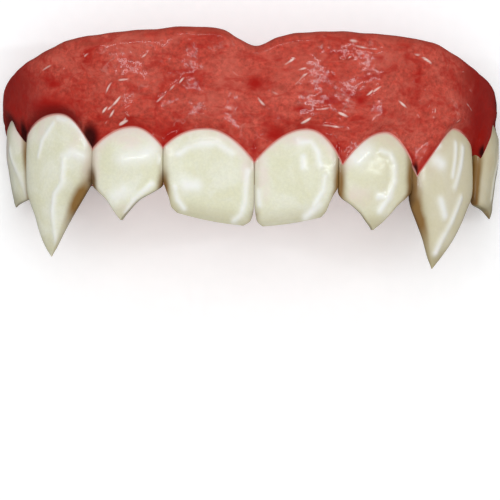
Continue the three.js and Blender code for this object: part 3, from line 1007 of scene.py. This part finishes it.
def skin_relief(share, height, arch):
    """How far the gum's skin stands out, in mm: lumps, wrinkles and the folds that shine.
    The folds are also returned alone, as the strength of their painted highlight.
    """
    run = share * arch.half_length
    points = np.stack([run, height, np.zeros(len(run))], axis=-1)
    relief = LUMPS * roughness_field(points, 0.2, 1)
    relief += SMALL_LUMPS * roughness_field(points, 0.45, 2)
    bend = 0.6 * roughness_field(points, 0.5, 3)
    bent = points + np.stack([bend, -bend, bend], axis=-1)
    patches = smooth_step(0.0, 0.5, roughness_field(points, 0.27, 4))
    crease = 1 - np.abs(roughness_field(bent, 0.85, 5)) * 2.2
    relief += CREASES * patches * np.clip(crease, 0, 1) ** 3
    relief += GRAIN * roughness_field(points, 1.9, 6)
    stippled = mark_field(STIPPLED, share, height, arch)
    relief += STIPPLE * stippled * roughness_field(bent, 2.4, 7)
    folded = np.zeros(len(run))
    for number, fold in enumerate(FOLDS + short_folds(arch)):
        angle = math.radians(fold["angle"])
        x = run - fold["at"] * arch.half_length
        y = height - fold["height"]
        near = np.hypot(x, y) < fold["length"] / 2 + 0.4
        x, y = x[near], y[near]
        along = (x * math.cos(angle) + y * math.sin(angle)) / (fold["length"] / 2)
        side = -x * math.sin(angle) + y * math.cos(angle)
        side = side + (FOLD_BEND if number % 2 else -FOLD_BEND) * along * along
        taper = np.clip(1 - along * along, 0, 1) ** 0.7
        width = FOLD_WIDTH + 0.05 * min(fold["length"] / 2, 1)
        shape = fold["rise"] * taper * np.exp(-((side / width) ** 2))
        folded[near] = np.maximum(folded[near], shape)
    folded *= np.clip(0.75 + 1.1 * roughness_field(points, 1.1, 8), 0.1, 1.15)
    return relief + sizes().fold_rise * folded, folded


def gum_plate_mesh(arch):
    bm = bmesh.new()
    sample = gum_section(0.0, arch)[0]
    around = len(sample)
    bmesh.ops.create_grid(bm, x_segments=GUM_STATIONS, y_segments=around, size=1)
    bm.verts.ensure_lookup_table()
    xs = sorted({round(v.co.x, 6) for v in bm.verts})
    stations = np.linspace(-1, 1, len(xs))
    sections = [gum_section(share, arch) for share in stations]

    first = {x: k for k, x in enumerate(xs)}
    ys = sorted({round(v.co.y, 6) for v in bm.verts})
    second = {y: k for k, y in enumerate(ys)}
    share = np.empty(len(bm.verts))
    depth = np.empty(len(bm.verts))
    height = np.empty(len(bm.verts))
    skin = np.empty(len(bm.verts))
    for k, v in enumerate(bm.verts):
        i = first[round(v.co.x, 6)]
        j = second[round(v.co.y, 6)] % around
        share[k] = stations[i]
        depth[k] = sections[i][0][j]
        height[k] = sections[i][1][j]
        skin[k] = sections[i][2][j]
    shown = skin > 0
    relief = np.zeros(len(share))
    folded = np.zeros(len(share))
    relief[shown], folded[shown] = skin_relief(share[shown], height[shown], arch)
    places = arch.place(share, depth + relief * skin, height)

    edge_distance = past_gum_edge(share, height, arch)
    border = border_height(share)
    # Painted shade: the gum is painted darker towards both sides, where it turns away from the light.
    side = np.maximum(0.8 * smooth_step(-0.5, -0.86, share), smooth_step(0.52, 0.82, share))
    painted = {
        "margin": np.exp(-np.maximum(edge_distance, 0)),
        "rim": np.exp(-np.maximum(border - height, 0) / 1.3),
        "side": side,
        # fold: strength of the painted highlight along the folds and wrinkles.
        "fold": folded,
        "stippled": mark_field(STIPPLED, share, height, arch),
        "deep": mark_field(DEEP_RED, share, height, arch),
        "shaded": np.maximum.reduce(
            [
                mark_field(SHADED, share, height, arch),
                0.6 * smooth_step(-0.4, -0.5, share) * np.exp(-((edge_distance / 1.6) ** 2)),
                0.5 * smooth_step(0.86, 1.0, -share),
                0.55 * smooth_step(0.7, 0.95, share),
            ]
        ),
        "pale": mark_field(PALE_PINK, share, height, arch),
        "browned": mark_field(BROWNED, share, height, arch),
    }
    add_attributes(bm, bm.verts, painted)
    for k, v in enumerate(bm.verts):
        v.co = places[k]
    bmesh.ops.remove_doubles(bm, verts=bm.verts, dist=1e-8)
    ends = [e for e in bm.edges if e.is_boundary]
    bmesh.ops.holes_fill(bm, edges=ends, sides=0)
    bmesh.ops.recalc_face_normals(bm, faces=bm.faces)
    return bm


# The teeth.

TOOTH_RINGS = 76
TOOTH_TURNS = 112
RING_CROWDING = 1.2  # above 1, rings lie closer at the tip
TIP_HALF_WIDTH = 0.08  # mm, least half width of a section
BACK_FLATNESS = 2.2
TOOTH_FIELDS = ("turn", "rise", "flank", "neck", "enamel_and_highlight", "stain", "tan", "browned", "blushed")


def tooth_ring(tooth, rise, arch):
    """A tooth's section at a rise as even steps from its back round to its back again: place
    across, depth, and how squarely each point faces forward. Lengths in mm."""
    turn = np.linspace(-math.pi / 2, math.pi * 1.5, 721)
    left, right, front, back, waist = tooth_section(tooth, rise, arch)
    half = max((right - left) / 2, TIP_HALF_WIDTH)
    power = 2 / np.where(np.sin(turn) > 0, tooth["flatness"], BACK_FLATNESS)
    across = np.sign(np.cos(turn)) * np.abs(np.cos(turn)) ** power
    deep = np.where(np.sin(turn) > 0, front - waist, waist - back)
    x = (left + right) / 2 + half * across
    z = waist + deep * np.sign(np.sin(turn)) * np.abs(np.sin(turn)) ** power
    step = np.hypot(np.diff(x), np.diff(z)) * np.where(z[1:] > waist, 2, 1)
    run = np.concatenate([[0], np.cumsum(step)])
    return run / run[-1], x, z, smooth_step(0.1, 0.55, np.sin(turn)), (x - (left + right) / 2) / half


def tooth_relief(name, along, height, arch):
    """Low relief of a tooth's face, in mm, and how strongly its ridges stand out, which sets how
    white they are painted: partly thicker enamel, partly a painted highlight.
    """
    tooth = TEETH[name]
    relief = np.zeros(len(along))
    enamel_and_highlight = np.zeros(len(along))
    for ridge in tooth["ridges"]:
        away = line_distance(ridge["line"], along, height, arch) / ridge["width"]
        crown = np.exp(-away * away)
        relief += ridge["rise"] * crown
        enamel_and_highlight = np.maximum(enamel_and_highlight, crown)
    seed = list(TEETH).index(name) + 11
    points = np.stack([along * arch.half_length, height, np.zeros(len(along))], axis=-1)
    relief += 0.05 * roughness_field(points, 0.3, seed)
    relief += 0.015 * roughness_field(points, 0.9, seed + 20)
    return relief * smooth_step(-0.1, 1.2, -past_gum_edge(along, height, arch)), enamel_and_highlight


def groove_stain_and_shade(along, height, arch):
    """How brown the paint is in the grooves between two teeth: partly a stain, partly painted shade."""
    stain = np.zeros(len(along))
    for notch in NOTCHES:
        x = (along - notch["at"]) * arch.half_length / 0.65
        y = (height - notch["height"]) / np.where(height > notch["height"], 2.2, 1.3)
        stain = np.maximum(stain, notch["stain"] * np.exp(-x * x - y * y))
    return stain


def tooth_mesh(name, arch):
    tooth = TEETH[name]
    size = sizes()
    width = (tooth["to"] - tooth["from"]) * arch.half_length
    middle = (tooth["from"] + tooth["to"]) / 2
    reach = (width - size.tooth_gap) / 2
    neck = size.crown_height * tooth["neck"]
    top = tooth["outline"][-1]["rise"]

    bm = bmesh.new()
    for field in TOOTH_FIELDS:
        bm.verts.layers.float.new(field)
    turn_layer = bm.verts.layers.float["turn"]
    ring = bmesh.ops.create_circle(bm, cap_ends=False, segments=TOOTH_TURNS, radius=1)["verts"]
    for v in ring:
        v[turn_layer] = (math.atan2(v.co.y, v.co.x) / (2 * math.pi) + 0.25) % 1
    ring_edges = list(bm.edges)

    for k in range(TOOTH_RINGS):
        rise = top * (k / (TOOTH_RINGS - 1)) ** RING_CROWDING
        if k:
            made = bmesh.ops.extrude_edge_only(bm, edges=ring_edges)["geom"]
            ring = [g for g in made if isinstance(g, bmesh.types.BMVert)]
            edges = [g for g in made if isinstance(g, bmesh.types.BMEdge)]
            ring_edges = [e for e in edges if e.verts[0] in ring and e.verts[1] in ring]
        turn = np.array([v[turn_layer] for v in ring])
        run, *columns = tooth_ring(tooth, rise, arch)
        x, z, facing, across = (np.interp(turn, run, column) for column in columns)
        x = np.clip(x, -reach, reach)
        foot = tooth_foot(tooth, x, arch)
        height = foot + (neck - foot) * rise
        along = middle + x / arch.half_length
        relief, enamel_and_highlight = tooth_relief(name, along, height, arch)
        places = arch.place(along, z + relief * facing, height)
        fields = {
            "rise": np.full(len(ring), rise),
            "flank": np.abs(across),
            "neck": np.exp(np.minimum(past_gum_edge(along, height, arch), 0)),
            # Partly painted highlight: whiter paint along the ridges, where they would catch the light.
            "enamel_and_highlight": enamel_and_highlight * facing,
            "stain": groove_stain_and_shade(along, height, arch),
            # Tan towards the right side: partly a warmer tone of the teeth, partly painted shade on that
            # side.
            "tan": smooth_step(0.1, 0.75, along),
            # browned: brown along the edges, partly a stain and partly painted shade.
            "browned": mark_field(EDGE_STAINS_AND_SHADE, along, height, arch),
            "blushed": mark_field(BLUSHED, along, height, arch),
        }
        add_attributes(bm, ring, fields)
        for v, place in zip(ring, places):
            v.co = place
    ends = [e for e in bm.edges if e.is_boundary]
    caps = bmesh.ops.holes_fill(bm, edges=ends, sides=0)["faces"]
    bmesh.ops.poke(bm, faces=caps)
    bmesh.ops.recalc_face_normals(bm, faces=bm.faces)
    return bm


# Materials.


def socket(group, name, direction, kind, default=None):
    made = group.interface.new_socket(name=name, in_out=direction, socket_type=kind)
    if default is not None:
        made.default_value = default
    return made


class Graph:
    """Short ways to add and join nodes of one tree."""

    def __init__(self, tree):
        self.tree = tree

    def add(self, kind, **settings):
        node = self.tree.nodes.new(kind)
        for key, value in settings.items():
            setattr(node, key, value)
        return node

    def join(self, source, target):
        self.tree.links.new(source, target)

    def feed(self, target, value):
        if isinstance(value, bpy.types.NodeSocket):
            self.join(value, target)
        else:
            target.default_value = value

    def math(self, operation, a, b=0.0, clamp=False):
        node = self.add("ShaderNodeMath", operation=operation, use_clamp=clamp)
        self.feed(node.inputs[0], a)
        self.feed(node.inputs[1], b)
        return node.outputs[0]

    def ramp(self, value, start, end, low=0.0, high=1.0):
        node = self.add("ShaderNodeMapRange", interpolation_type="SMOOTHSTEP")
        self.feed(node.inputs["Value"], value)
        for name, number in zip(("From Min", "From Max", "To Min", "To Max"), (start, end, low, high)):
            self.feed(node.inputs[name], number)
        return node.outputs[0]

    def mix(self, factor, a, b, blend="MIX"):
        node = self.add("ShaderNodeMix", data_type="RGBA", blend_type=blend)
        self.feed(node.inputs[0], factor)
        self.feed(node.inputs[6], a)
        self.feed(node.inputs[7], b)
        return node.outputs[2]

    def noise(self, vector, scale, detail=3.0, roughness=0.5, distortion=0.0):
        node = self.add("ShaderNodeTexNoise")
        self.feed(node.inputs["Vector"], vector)
        for name, number in (
            ("Scale", scale),
            ("Detail", detail),
            ("Roughness", roughness),
            ("Distortion", distortion),
        ):
            self.feed(node.inputs[name], number)
        return node.outputs["Fac"]

    def threads(self, place, scale):
        """Thin wandering lines, as of fibres and little veins."""
        swirl = self.add("ShaderNodeTexNoise")
        self.join(place, swirl.inputs["Vector"])
        swirl.inputs["Scale"].default_value = 1.2 * scale
        swirl.inputs["Detail"].default_value = 3.0
        small = self.add("ShaderNodeVectorMath", operation="SCALE")
        self.join(swirl.outputs["Color"], small.inputs[0])
        small.inputs["Scale"].default_value = 1.0 / scale
        warp = self.add("ShaderNodeVectorMath", operation="ADD")
        self.join(place, warp.inputs[0])
        self.join(small.outputs[0], warp.inputs[1])
        cells = self.add("ShaderNodeTexVoronoi", feature="DISTANCE_TO_EDGE")
        self.join(warp.outputs[0], cells.inputs["Vector"])
        cells.inputs["Scale"].default_value = scale
        return self.ramp(cells.outputs["Distance"], 0.0, 0.07, 1.0, 0.0)

    def strokes(self, place, angle, size, stretch):
        """Noise drawn out along one direction of the front, as brush strokes are."""
        mapping = self.add("ShaderNodeMapping")
        self.join(place, mapping.inputs["Vector"])
        mapping.inputs["Rotation"].default_value = (0, 0, math.radians(-angle))
        mapping.inputs["Scale"].default_value = (1 / stretch, 1, 1)
        return self.noise(mapping.outputs[0], size, 3.0, 0.6, 0.6)

    def attribute(self, name):
        return self.add("ShaderNodeAttribute", attribute_name=name).outputs["Fac"]

    def place(self):
        return self.add("ShaderNodeTexCoord").outputs["Object"]

    def group(self, tree, **inputs):
        node = self.add("ShaderNodeGroup", node_tree=tree)
        for name, value in inputs.items():
            self.feed(node.inputs[name], value)
        return node.outputs


def rgba(value):
    return (*value, 1.0)


def mottle_group():
    """Cloudy change between two colours with fine grain, as hand painting leaves it."""
    made = bpy.data.node_groups.new("hand_painted_mottle", "ShaderNodeTree")
    socket(made, "Vector", "INPUT", "NodeSocketVector")
    socket(made, "Base", "INPUT", "NodeSocketColor")
    socket(made, "Cloud", "INPUT", "NodeSocketColor")
    socket(made, "Scale", "INPUT", "NodeSocketFloat", 200.0)
    socket(made, "Amount", "INPUT", "NodeSocketFloat", 0.5)
    socket(made, "Grain", "INPUT", "NodeSocketFloat", 0.1)
    socket(made, "Colour", "OUTPUT", "NodeSocketColor")
    g = Graph(made)
    inputs = g.add("NodeGroupInput").outputs
    outputs = g.add("NodeGroupOutput").inputs
    cloud = g.noise(inputs["Vector"], inputs["Scale"], 5.0, 0.6, 0.7)
    amount = g.math("MULTIPLY", g.ramp(cloud, 0.38, 0.66), inputs["Amount"])
    painted = g.mix(amount, inputs["Base"], inputs["Cloud"])
    fine = g.noise(inputs["Vector"], g.math("MULTIPLY", inputs["Scale"], 14.0), 3.0, 0.7)
    spread = g.math("MULTIPLY", g.math("SUBTRACT", fine, 0.5), inputs["Grain"])
    shade = g.math("ADD", g.math("MULTIPLY", spread, 2.0), 1.0)
    grey = g.add("ShaderNodeCombineColor")
    for k in range(3):
        g.join(shade, grey.inputs[k])
    g.join(g.mix(1.0, painted, grey.outputs[0], "MULTIPLY"), outputs["Colour"])
    return made


def wet_group():
    """Uneven height of a brushed gloss coat: soft ripples, stipple and fine scratches."""
    made = bpy.data.node_groups.new("brushed_gloss", "ShaderNodeTree")
    socket(made, "Vector", "INPUT", "NodeSocketVector")
    socket(made, "Ripple", "INPUT", "NodeSocketFloat", 500.0)
    socket(made, "Stipple", "INPUT", "NodeSocketFloat", 2500.0)
    socket(made, "Spread", "INPUT", "NodeSocketFloat", 0.3)
    socket(made, "Height", "OUTPUT", "NodeSocketFloat")
    socket(made, "Wear", "OUTPUT", "NodeSocketFloat")
    g = Graph(made)
    inputs = g.add("NodeGroupInput").outputs
    outputs = g.add("NodeGroupOutput").inputs
    ripple = g.noise(inputs["Vector"], inputs["Ripple"], 2.0, 0.5, 1.2)
    stipple = g.noise(inputs["Vector"], inputs["Stipple"], 2.0, 0.5)
    bumps = g.math("MULTIPLY", stipple, inputs["Spread"])
    g.join(g.math("ADD", ripple, bumps), outputs["Height"])
    wear = g.noise(inputs["Vector"], 320.0, 4.0, 0.65)
    g.join(g.ramp(wear, 0.4, 0.7), outputs["Wear"])
    return made


def shader(name):
    material = bpy.data.materials.new(name)
    material.use_nodes = True
    tree = material.node_tree
    tree.nodes.clear()
    g = Graph(tree)
    surface = g.add("ShaderNodeBsdfPrincipled")
    output = g.add("ShaderNodeOutputMaterial")
    g.join(surface.outputs[0], output.inputs[0])
    return material, g, surface


def shared(name, make):
    return bpy.data.node_groups.get(name) or make()


def gum_material():
    material, g, surface = shader("painted_gum")
    paint = colours()
    place = g.place()
    drift = g.noise(place, 240.0, 4.0, 0.6, 0.5)
    painted = g.group(
        shared("hand_painted_mottle", mottle_group),
        Vector=place,
        Base=rgba(paint.gum),
        Cloud=rgba(paint.gum_pale),
        Scale=150.0,
        Amount=0.6,
        Grain=0.8,
    )["Colour"]
    pale = g.math("MULTIPLY", g.attribute("pale"), g.ramp(drift, 0.3, 0.62, 0.25, 1.0))
    painted = g.mix(g.math("MULTIPLY", pale, 0.7), painted, rgba(paint.gum_pale))
    blood = g.ramp(g.noise(place, 110.0, 5.0, 0.62, 1.0), 0.5, 0.66, 0.0, 0.75)
    painted = g.mix(blood, painted, rgba(paint.gum_deep))
    across = g.ramp(g.strokes(place, 38, 900.0, 3.0), 0.48, 0.68, 0.0, 0.5)
    painted = g.mix(across, painted, rgba(paint.gum_pale))
    down = g.ramp(g.strokes(place, -55, 750.0, 2.5), 0.48, 0.68, 0.0, 0.55)
    painted = g.mix(down, painted, rgba(paint.gum_deep))
    deep = g.math("MULTIPLY", g.attribute("deep"), g.ramp(drift, 0.25, 0.6, 0.85, 1.2), clamp=True)
    painted = g.mix(g.math("MULTIPLY", deep, 0.9), painted, rgba(paint.gum_deep))
    margin = g.attribute("margin")
    band = g.math("MULTIPLY", margin, g.ramp(drift, 0.38, 0.62, 0.25, 1.2))
    painted = g.mix(g.ramp(band, 0.3, 0.9, 0.0, 0.68), painted, rgba(paint.gum_deep))
    rim = g.math("MULTIPLY", g.attribute("rim"), g.ramp(drift, 0.3, 0.7, 0.6, 1.2))
    rim = g.math("MAXIMUM", rim, g.attribute("browned"))
    painted = g.mix(g.ramp(rim, 0.25, 1.0, 0.0, 0.7), painted, rgba(paint.gum_border))
    # Painted shade: darker crimson towards the sides, where the gum turns away from the light.
    side = g.ramp(g.math("ADD", g.attribute("side"), g.math("MULTIPLY", drift, 0.4)), 0.2, 1.0)
    painted = g.mix(g.math("MULTIPLY", side, 0.92), painted, rgba(paint.gum_side_shade))
    shaded = g.attribute("shaded")
    painted = g.mix(g.ramp(shaded, 0.15, 0.9, 0.0, 0.96), painted, rgba(paint.gum_shade))
    threads = g.threads(place, 260.0)
    vein = g.math("MULTIPLY", threads, g.ramp(drift, 0.5, 0.62, 0.0, 0.4))
    painted = g.mix(vein, painted, rgba(paint.gum_deep))
    fibres = g.math("MULTIPLY", g.threads(place, 420.0), g.ramp(drift, 0.42, 0.3, 0.0, 0.08))
    painted = g.mix(fibres, painted, rgba(paint.gum_fibre_and_highlight))
    # Painted highlight: cream along the folds and wrinkles, where they would catch the light.
    fold = g.ramp(g.attribute("fold"), 0.2, 0.85, 0.0, 0.75)
    painted = g.mix(fold, painted, rgba(paint.gum_fibre_and_highlight))
    thin = g.math("MULTIPLY", g.ramp(margin, 0.8, 0.97, 0.0, 0.75), g.ramp(side, 0.2, 0.9, 1.0, 0.0))
    painted = g.mix(thin, painted, rgba(paint.gum_thin))
    g.join(painted, surface.inputs["Base Color"])

    coat = g.group(
        shared("brushed_gloss", wet_group),
        Vector=place,
        Ripple=600.0,
        Stipple=2600.0,
        Spread=g.math("ADD", g.math("MULTIPLY", g.attribute("stippled"), 1.1), 0.12),
    )
    g.join(g.ramp(coat["Wear"], 0.0, 1.0, 0.6, 0.75), surface.inputs["Roughness"])
    bump = g.add("ShaderNodeBump")
    bump.inputs["Strength"].default_value = 0.38
    bump.inputs["Distance"].default_value = 0.0001
    g.join(coat["Height"], bump.inputs["Height"])
    g.join(bump.outputs[0], surface.inputs["Normal"])
    surface.inputs["IOR"].default_value = 1.49
    dry = g.math("MULTIPLY", g.math("MAXIMUM", shaded, side), -0.95)
    dry = g.math("ADD", dry, 1.0, clamp=True)
    surface.inputs["Specular IOR Level"].default_value = 0.08
    g.join(g.math("MULTIPLY", dry, 0.44), surface.inputs["Coat Weight"])
    surface.inputs["Coat Roughness"].default_value = 0.12
    surface.inputs["Subsurface Weight"].default_value = 0.08
    surface.inputs["Subsurface Radius"].default_value = (1.0, 0.25, 0.2)
    surface.inputs["Subsurface Scale"].default_value = 0.0006
    return material


def tooth_material():
    material, g, surface = shader("painted_tooth")
    paint = colours()
    place = g.place()
    rise = g.attribute("rise")
    neck = g.attribute("neck")
    flank = g.attribute("flank")
    drift = g.noise(place, 260.0, 4.0, 0.6, 0.4)
    painted = g.group(
        shared("hand_painted_mottle", mottle_group),
        Vector=place,
        Base=rgba(paint.tooth),
        Cloud=rgba(paint.tooth_white_and_highlight),
        Scale=230.0,
        Amount=0.35,
        Grain=0.12,
    )["Colour"]
    # Partly painted shade: the teeth are painted more tan towards the right, partly a warmer tone.
    painted = g.mix(g.math("MULTIPLY", g.attribute("tan"), 0.65), painted, rgba(paint.tooth_tan_and_shade))
    pink = g.math("MAXIMUM", neck, g.math("MULTIPLY", g.attribute("blushed"), 0.8))
    pink = g.math("MULTIPLY", pink, g.ramp(drift, 0.35, 0.6, 0.45, 1.15))
    neck_paint = g.mix(g.attribute("tan"), rgba(paint.tooth_neck), rgba(paint.tooth_tan_and_shade))
    painted = g.mix(g.ramp(pink, 0.1, 0.85, 0.0, 0.75), painted, neck_paint)
    blush = g.ramp(g.math("ADD", neck, g.math("MULTIPLY", drift, 0.1)), 0.82, 1.05, 0.0, 0.6)
    painted = g.mix(blush, painted, rgba(paint.gum_thin))
    # warm follows tan, so tips and edges are painted darker on the right too, partly as painted shade.
    warm = g.math("ADD", g.math("MULTIPLY", g.attribute("tan"), 0.65), 0.42, clamp=True)
    tip = g.math("ADD", g.ramp(rise, 0.0, 0.28, 1.0, 0.0), g.math("MULTIPLY", drift, 0.3))
    tip = g.math("MULTIPLY", g.ramp(tip, 0.25, 1.15, 0.0, 0.95), warm)
    painted = g.mix(tip, painted, rgba(paint.tooth_edge))
    edge = g.ramp(g.math("ADD", flank, g.math("MULTIPLY", drift, 0.1)), 0.84, 1.03, 0.0, 0.9)
    painted = g.mix(g.math("MULTIPLY", edge, warm), painted, rgba(paint.tooth_edge))
    # Partly painted highlight: the ridges are painted whiter, partly as thicker enamel.
    enamel_and_highlight = g.math("MULTIPLY", g.attribute("enamel_and_highlight"), g.ramp(drift, 0.3, 0.65, 0.6, 1.0))
    painted = g.mix(g.math("MULTIPLY", enamel_and_highlight, 0.85), painted, rgba(paint.tooth_white_and_highlight))
    # Partly painted shade: brown washes along the teeth's edges, partly a stain.
    washed = g.math("ADD", flank, g.math("MULTIPLY", drift, 0.2))
    browned = g.attribute("browned")
    wide_wash = g.math("MULTIPLY", g.ramp(washed, 0.45, 1.1, 0.0, 0.75), browned)
    painted = g.mix(wide_wash, painted, rgba(paint.tooth_edge))
    thin_wash = g.math("MULTIPLY", g.ramp(washed, 0.78, 1.05, 0.0, 1.3), browned, clamp=True)
    painted = g.mix(thin_wash, painted, rgba(paint.tooth_brown_and_shade))
    # Partly painted shade: olive brown in the grooves between the teeth, where shade falls, and partly a
    # stain.
    stain = g.math("MULTIPLY", g.attribute("stain"), g.ramp(drift, 0.3, 0.62, 0.6, 1.1))
    painted = g.mix(g.ramp(stain, 0.05, 0.75, 0.0, 0.95), painted, rgba(paint.tooth_groove_stain_and_shade))
    g.join(painted, surface.inputs["Base Color"])

    coat = g.group(
        shared("brushed_gloss", wet_group),
        Vector=place,
        Ripple=380.0,
        Stipple=2400.0,
        Spread=g.math("ADD", g.math("MULTIPLY", neck, 0.9), 0.1),
    )
    g.join(g.ramp(coat["Wear"], 0.0, 1.0, 0.34, 0.46), surface.inputs["Roughness"])
    bump = g.add("ShaderNodeBump")
    bump.inputs["Strength"].default_value = 0.3
    bump.inputs["Distance"].default_value = 0.0001
    g.join(coat["Height"], bump.inputs["Height"])
    g.join(bump.outputs[0], surface.inputs["Normal"])
    surface.inputs["IOR"].default_value = 1.52
    surface.inputs["Coat Weight"].default_value = 0.6
    surface.inputs["Coat Roughness"].default_value = 0.15
    surface.inputs["Subsurface Weight"].default_value = 0.12
    surface.inputs["Subsurface Radius"].default_value = (1.0, 0.8, 0.5)
    surface.inputs["Subsurface Scale"].default_value = 0.0006
    return material


def named_material(name, make):
    return bpy.data.materials.get(name) or make()


def make_teeth(names):
    arch = ArchLine()
    for name in names:
        material = named_material("painted_tooth", tooth_material)
        piece = new_piece(
            name + "_crown", tooth_mesh(name, arch), "root", [name], material
        )
        subdivide(piece, 1)


class DENTURE_OT_gum_plate(bpy.types.Operator):
    """Model and paint the gum plate"""

    bl_idname = "denture.gum_plate"
    bl_label = "Gum plate"

    def execute(self, context):
        material = named_material("painted_gum", gum_material)
        bm = gum_plate_mesh(ArchLine())
        new_piece("gum_plate_skin", bm, "root", ["gum_plate"], material)
        return {"FINISHED"}


class DENTURE_OT_incisors(bpy.types.Operator):
    """Model the four incisors"""

    bl_idname = "denture.incisors"
    bl_label = "Incisors"

    def execute(self, context):
        make_teeth([name for name in TEETH if "incisor" in name])
        return {"FINISHED"}


class DENTURE_OT_fangs(bpy.types.Operator):
    """Model the two long fangs"""

    bl_idname = "denture.fangs"
    bl_label = "Fangs"

    def execute(self, context):
        make_teeth([name for name in TEETH if name.startswith("fang")])
        return {"FINISHED"}


class DENTURE_OT_premolars(bpy.types.Operator):
    """Model the two pointed side teeth"""

    bl_idname = "denture.premolars"
    bl_label = "Premolars"

    def execute(self, context):
        make_teeth([name for name in TEETH if name.startswith("premolar")])
        return {"FINISHED"}


# The stage.

SENSOR_WIDTH = 36  # mm
FLOOR_HALF_SIDE = 3  # m
AIM = (0, 0, 0.015)  # m, the middle of the plate, where the lamps point
FLOOR_GLOW = 0.14
ROOM_LIGHT = 0.55
ROOM_LIGHT_MIRRORED = 0.02
LAMPS = table(
    "name at size power shine",
    ("front_fill", (0, 60, 700), (600, 500), 1.8, False),
    ("left_strip", (-150, 40, 250), (8, 130), 0.06, True),
    ("right_strip", (150, 20, 250), (8, 130), 0.08, True),
    ("top_strip", (-20, 190, 230), (130, 8), 0.05, True),
)


def aimed(location, target):
    direction = Vector(target) - Vector(location)
    return direction.to_track_quat("-Z", "Y").to_euler()


class DENTURE_OT_stage(bpy.types.Operator):
    """Set up the floor, the lights and the camera"""

    bl_idname = "denture.stage"
    bl_label = "Stage"

    def execute(self, context):
        scene = context.scene
        stage = scene.denture_stage
        camera_data = bpy.data.cameras.new("photo_view")
        camera = bpy.data.objects.new("photo_view", camera_data)
        camera.location = (0, -stage.camera_offset * MM, stage.camera_height * MM)
        distance = stage.camera_height - sizes().arch_depth
        camera_data.sensor_width = SENSOR_WIDTH
        camera_data.lens = SENSOR_WIDTH * distance / stage.view_width
        scene.collection.objects.link(camera)
        scene.camera = camera

        bm = bmesh.new()
        bmesh.ops.create_grid(bm, x_segments=1, y_segments=1, size=FLOOR_HALF_SIDE)
        mesh = bpy.data.meshes.new("floor")
        bm.to_mesh(mesh)
        bm.free()
        floor = bpy.data.objects.new("floor", mesh)
        material, g, surface = shader("floor_paper")
        speck = g.noise(g.place(), 900.0, 4.0, 0.6)
        tone = g.ramp(speck, 0.3, 0.7, 0.97, 1.0)
        grey = g.add("ShaderNodeCombineColor")
        for k in range(3):
            g.join(tone, grey.inputs[k])
        g.join(g.mix(1.0, rgba(stage.floor), grey.outputs[0], "MULTIPLY"), surface.inputs["Base Color"])
        surface.inputs["Roughness"].default_value = 0.9
        surface.inputs["Emission Color"].default_value = rgba(stage.floor)
        surface.inputs["Emission Strength"].default_value = FLOOR_GLOW
        mesh.materials.append(material)
        floor.visible_glossy = False
        scene.collection.objects.link(floor)

        for row in LAMPS:
            lamp = bpy.data.lights.new(row["name"], "AREA")
            lamp.shape = "RECTANGLE"
            lamp.size = row["size"][0] * MM
            lamp.size_y = row["size"][1] * MM
            lamp.energy = row["power"]
            if row["shine"]:
                lamp.color = stage.shine
            lamp_object = bpy.data.objects.new(row["name"], lamp)
            lamp_object.location = [c * MM for c in row["at"]]
            lamp_object.rotation_euler = aimed(lamp_object.location, AIM)
            lamp_object.visible_camera = False
            lamp_object.visible_glossy = row["shine"]
            scene.collection.objects.link(lamp_object)

        world = bpy.data.worlds.new("studio")
        world.use_nodes = True
        background = world.node_tree.nodes["Background"]
        background.inputs["Color"].default_value = (1, 1, 1, 1)
        rays = world.node_tree.nodes.new("ShaderNodeLightPath")
        dim = world.node_tree.nodes.new("ShaderNodeMapRange")
        dim.inputs["To Min"].default_value = ROOM_LIGHT
        dim.inputs["To Max"].default_value = ROOM_LIGHT_MIRRORED
        world.node_tree.links.new(rays.outputs["Is Glossy Ray"], dim.inputs["Value"])
        world.node_tree.links.new(dim.outputs[0], background.inputs["Strength"])
        scene.world = world
        scene.view_settings.view_transform = "Standard"
        return {"FINISHED"}


class DENTURE_PT_panel(bpy.types.Panel):
    bl_label = "Upper fang denture"
    bl_idname = "DENTURE_PT_panel"
    bl_space_type = "VIEW_3D"
    bl_region_type = "UI"
    bl_category = "Denture"

    def draw(self, context):
        for operator in OPERATORS:
            self.layout.operator(operator.bl_idname)


OPERATORS = [
    DENTURE_OT_gum_plate,
    DENTURE_OT_incisors,
    DENTURE_OT_fangs,
    DENTURE_OT_premolars,
    DENTURE_OT_stage,
]
CLASSES = [DentureSizes, DentureColours, DentureStage, *OPERATORS, DENTURE_PT_panel]


def register():
    for cls in CLASSES:
        bpy.utils.register_class(cls)
    bpy.types.Scene.denture_sizes = bpy.props.PointerProperty(type=DentureSizes)
    bpy.types.Scene.denture_colours = bpy.props.PointerProperty(type=DentureColours)
    bpy.types.Scene.denture_stage = bpy.props.PointerProperty(type=DentureStage)


def unregister():
    del bpy.types.Scene.denture_sizes
    del bpy.types.Scene.denture_colours
    del bpy.types.Scene.denture_stage
    for cls in reversed(CLASSES):
        bpy.utils.unregister_class(cls)


def main():
    register()
    bpy.ops.denture.gum_plate()
    bpy.ops.denture.incisors()
    bpy.ops.denture.fangs()
    bpy.ops.denture.premolars()
    bpy.ops.denture.stage()


if __name__ == "__main__":
    main()
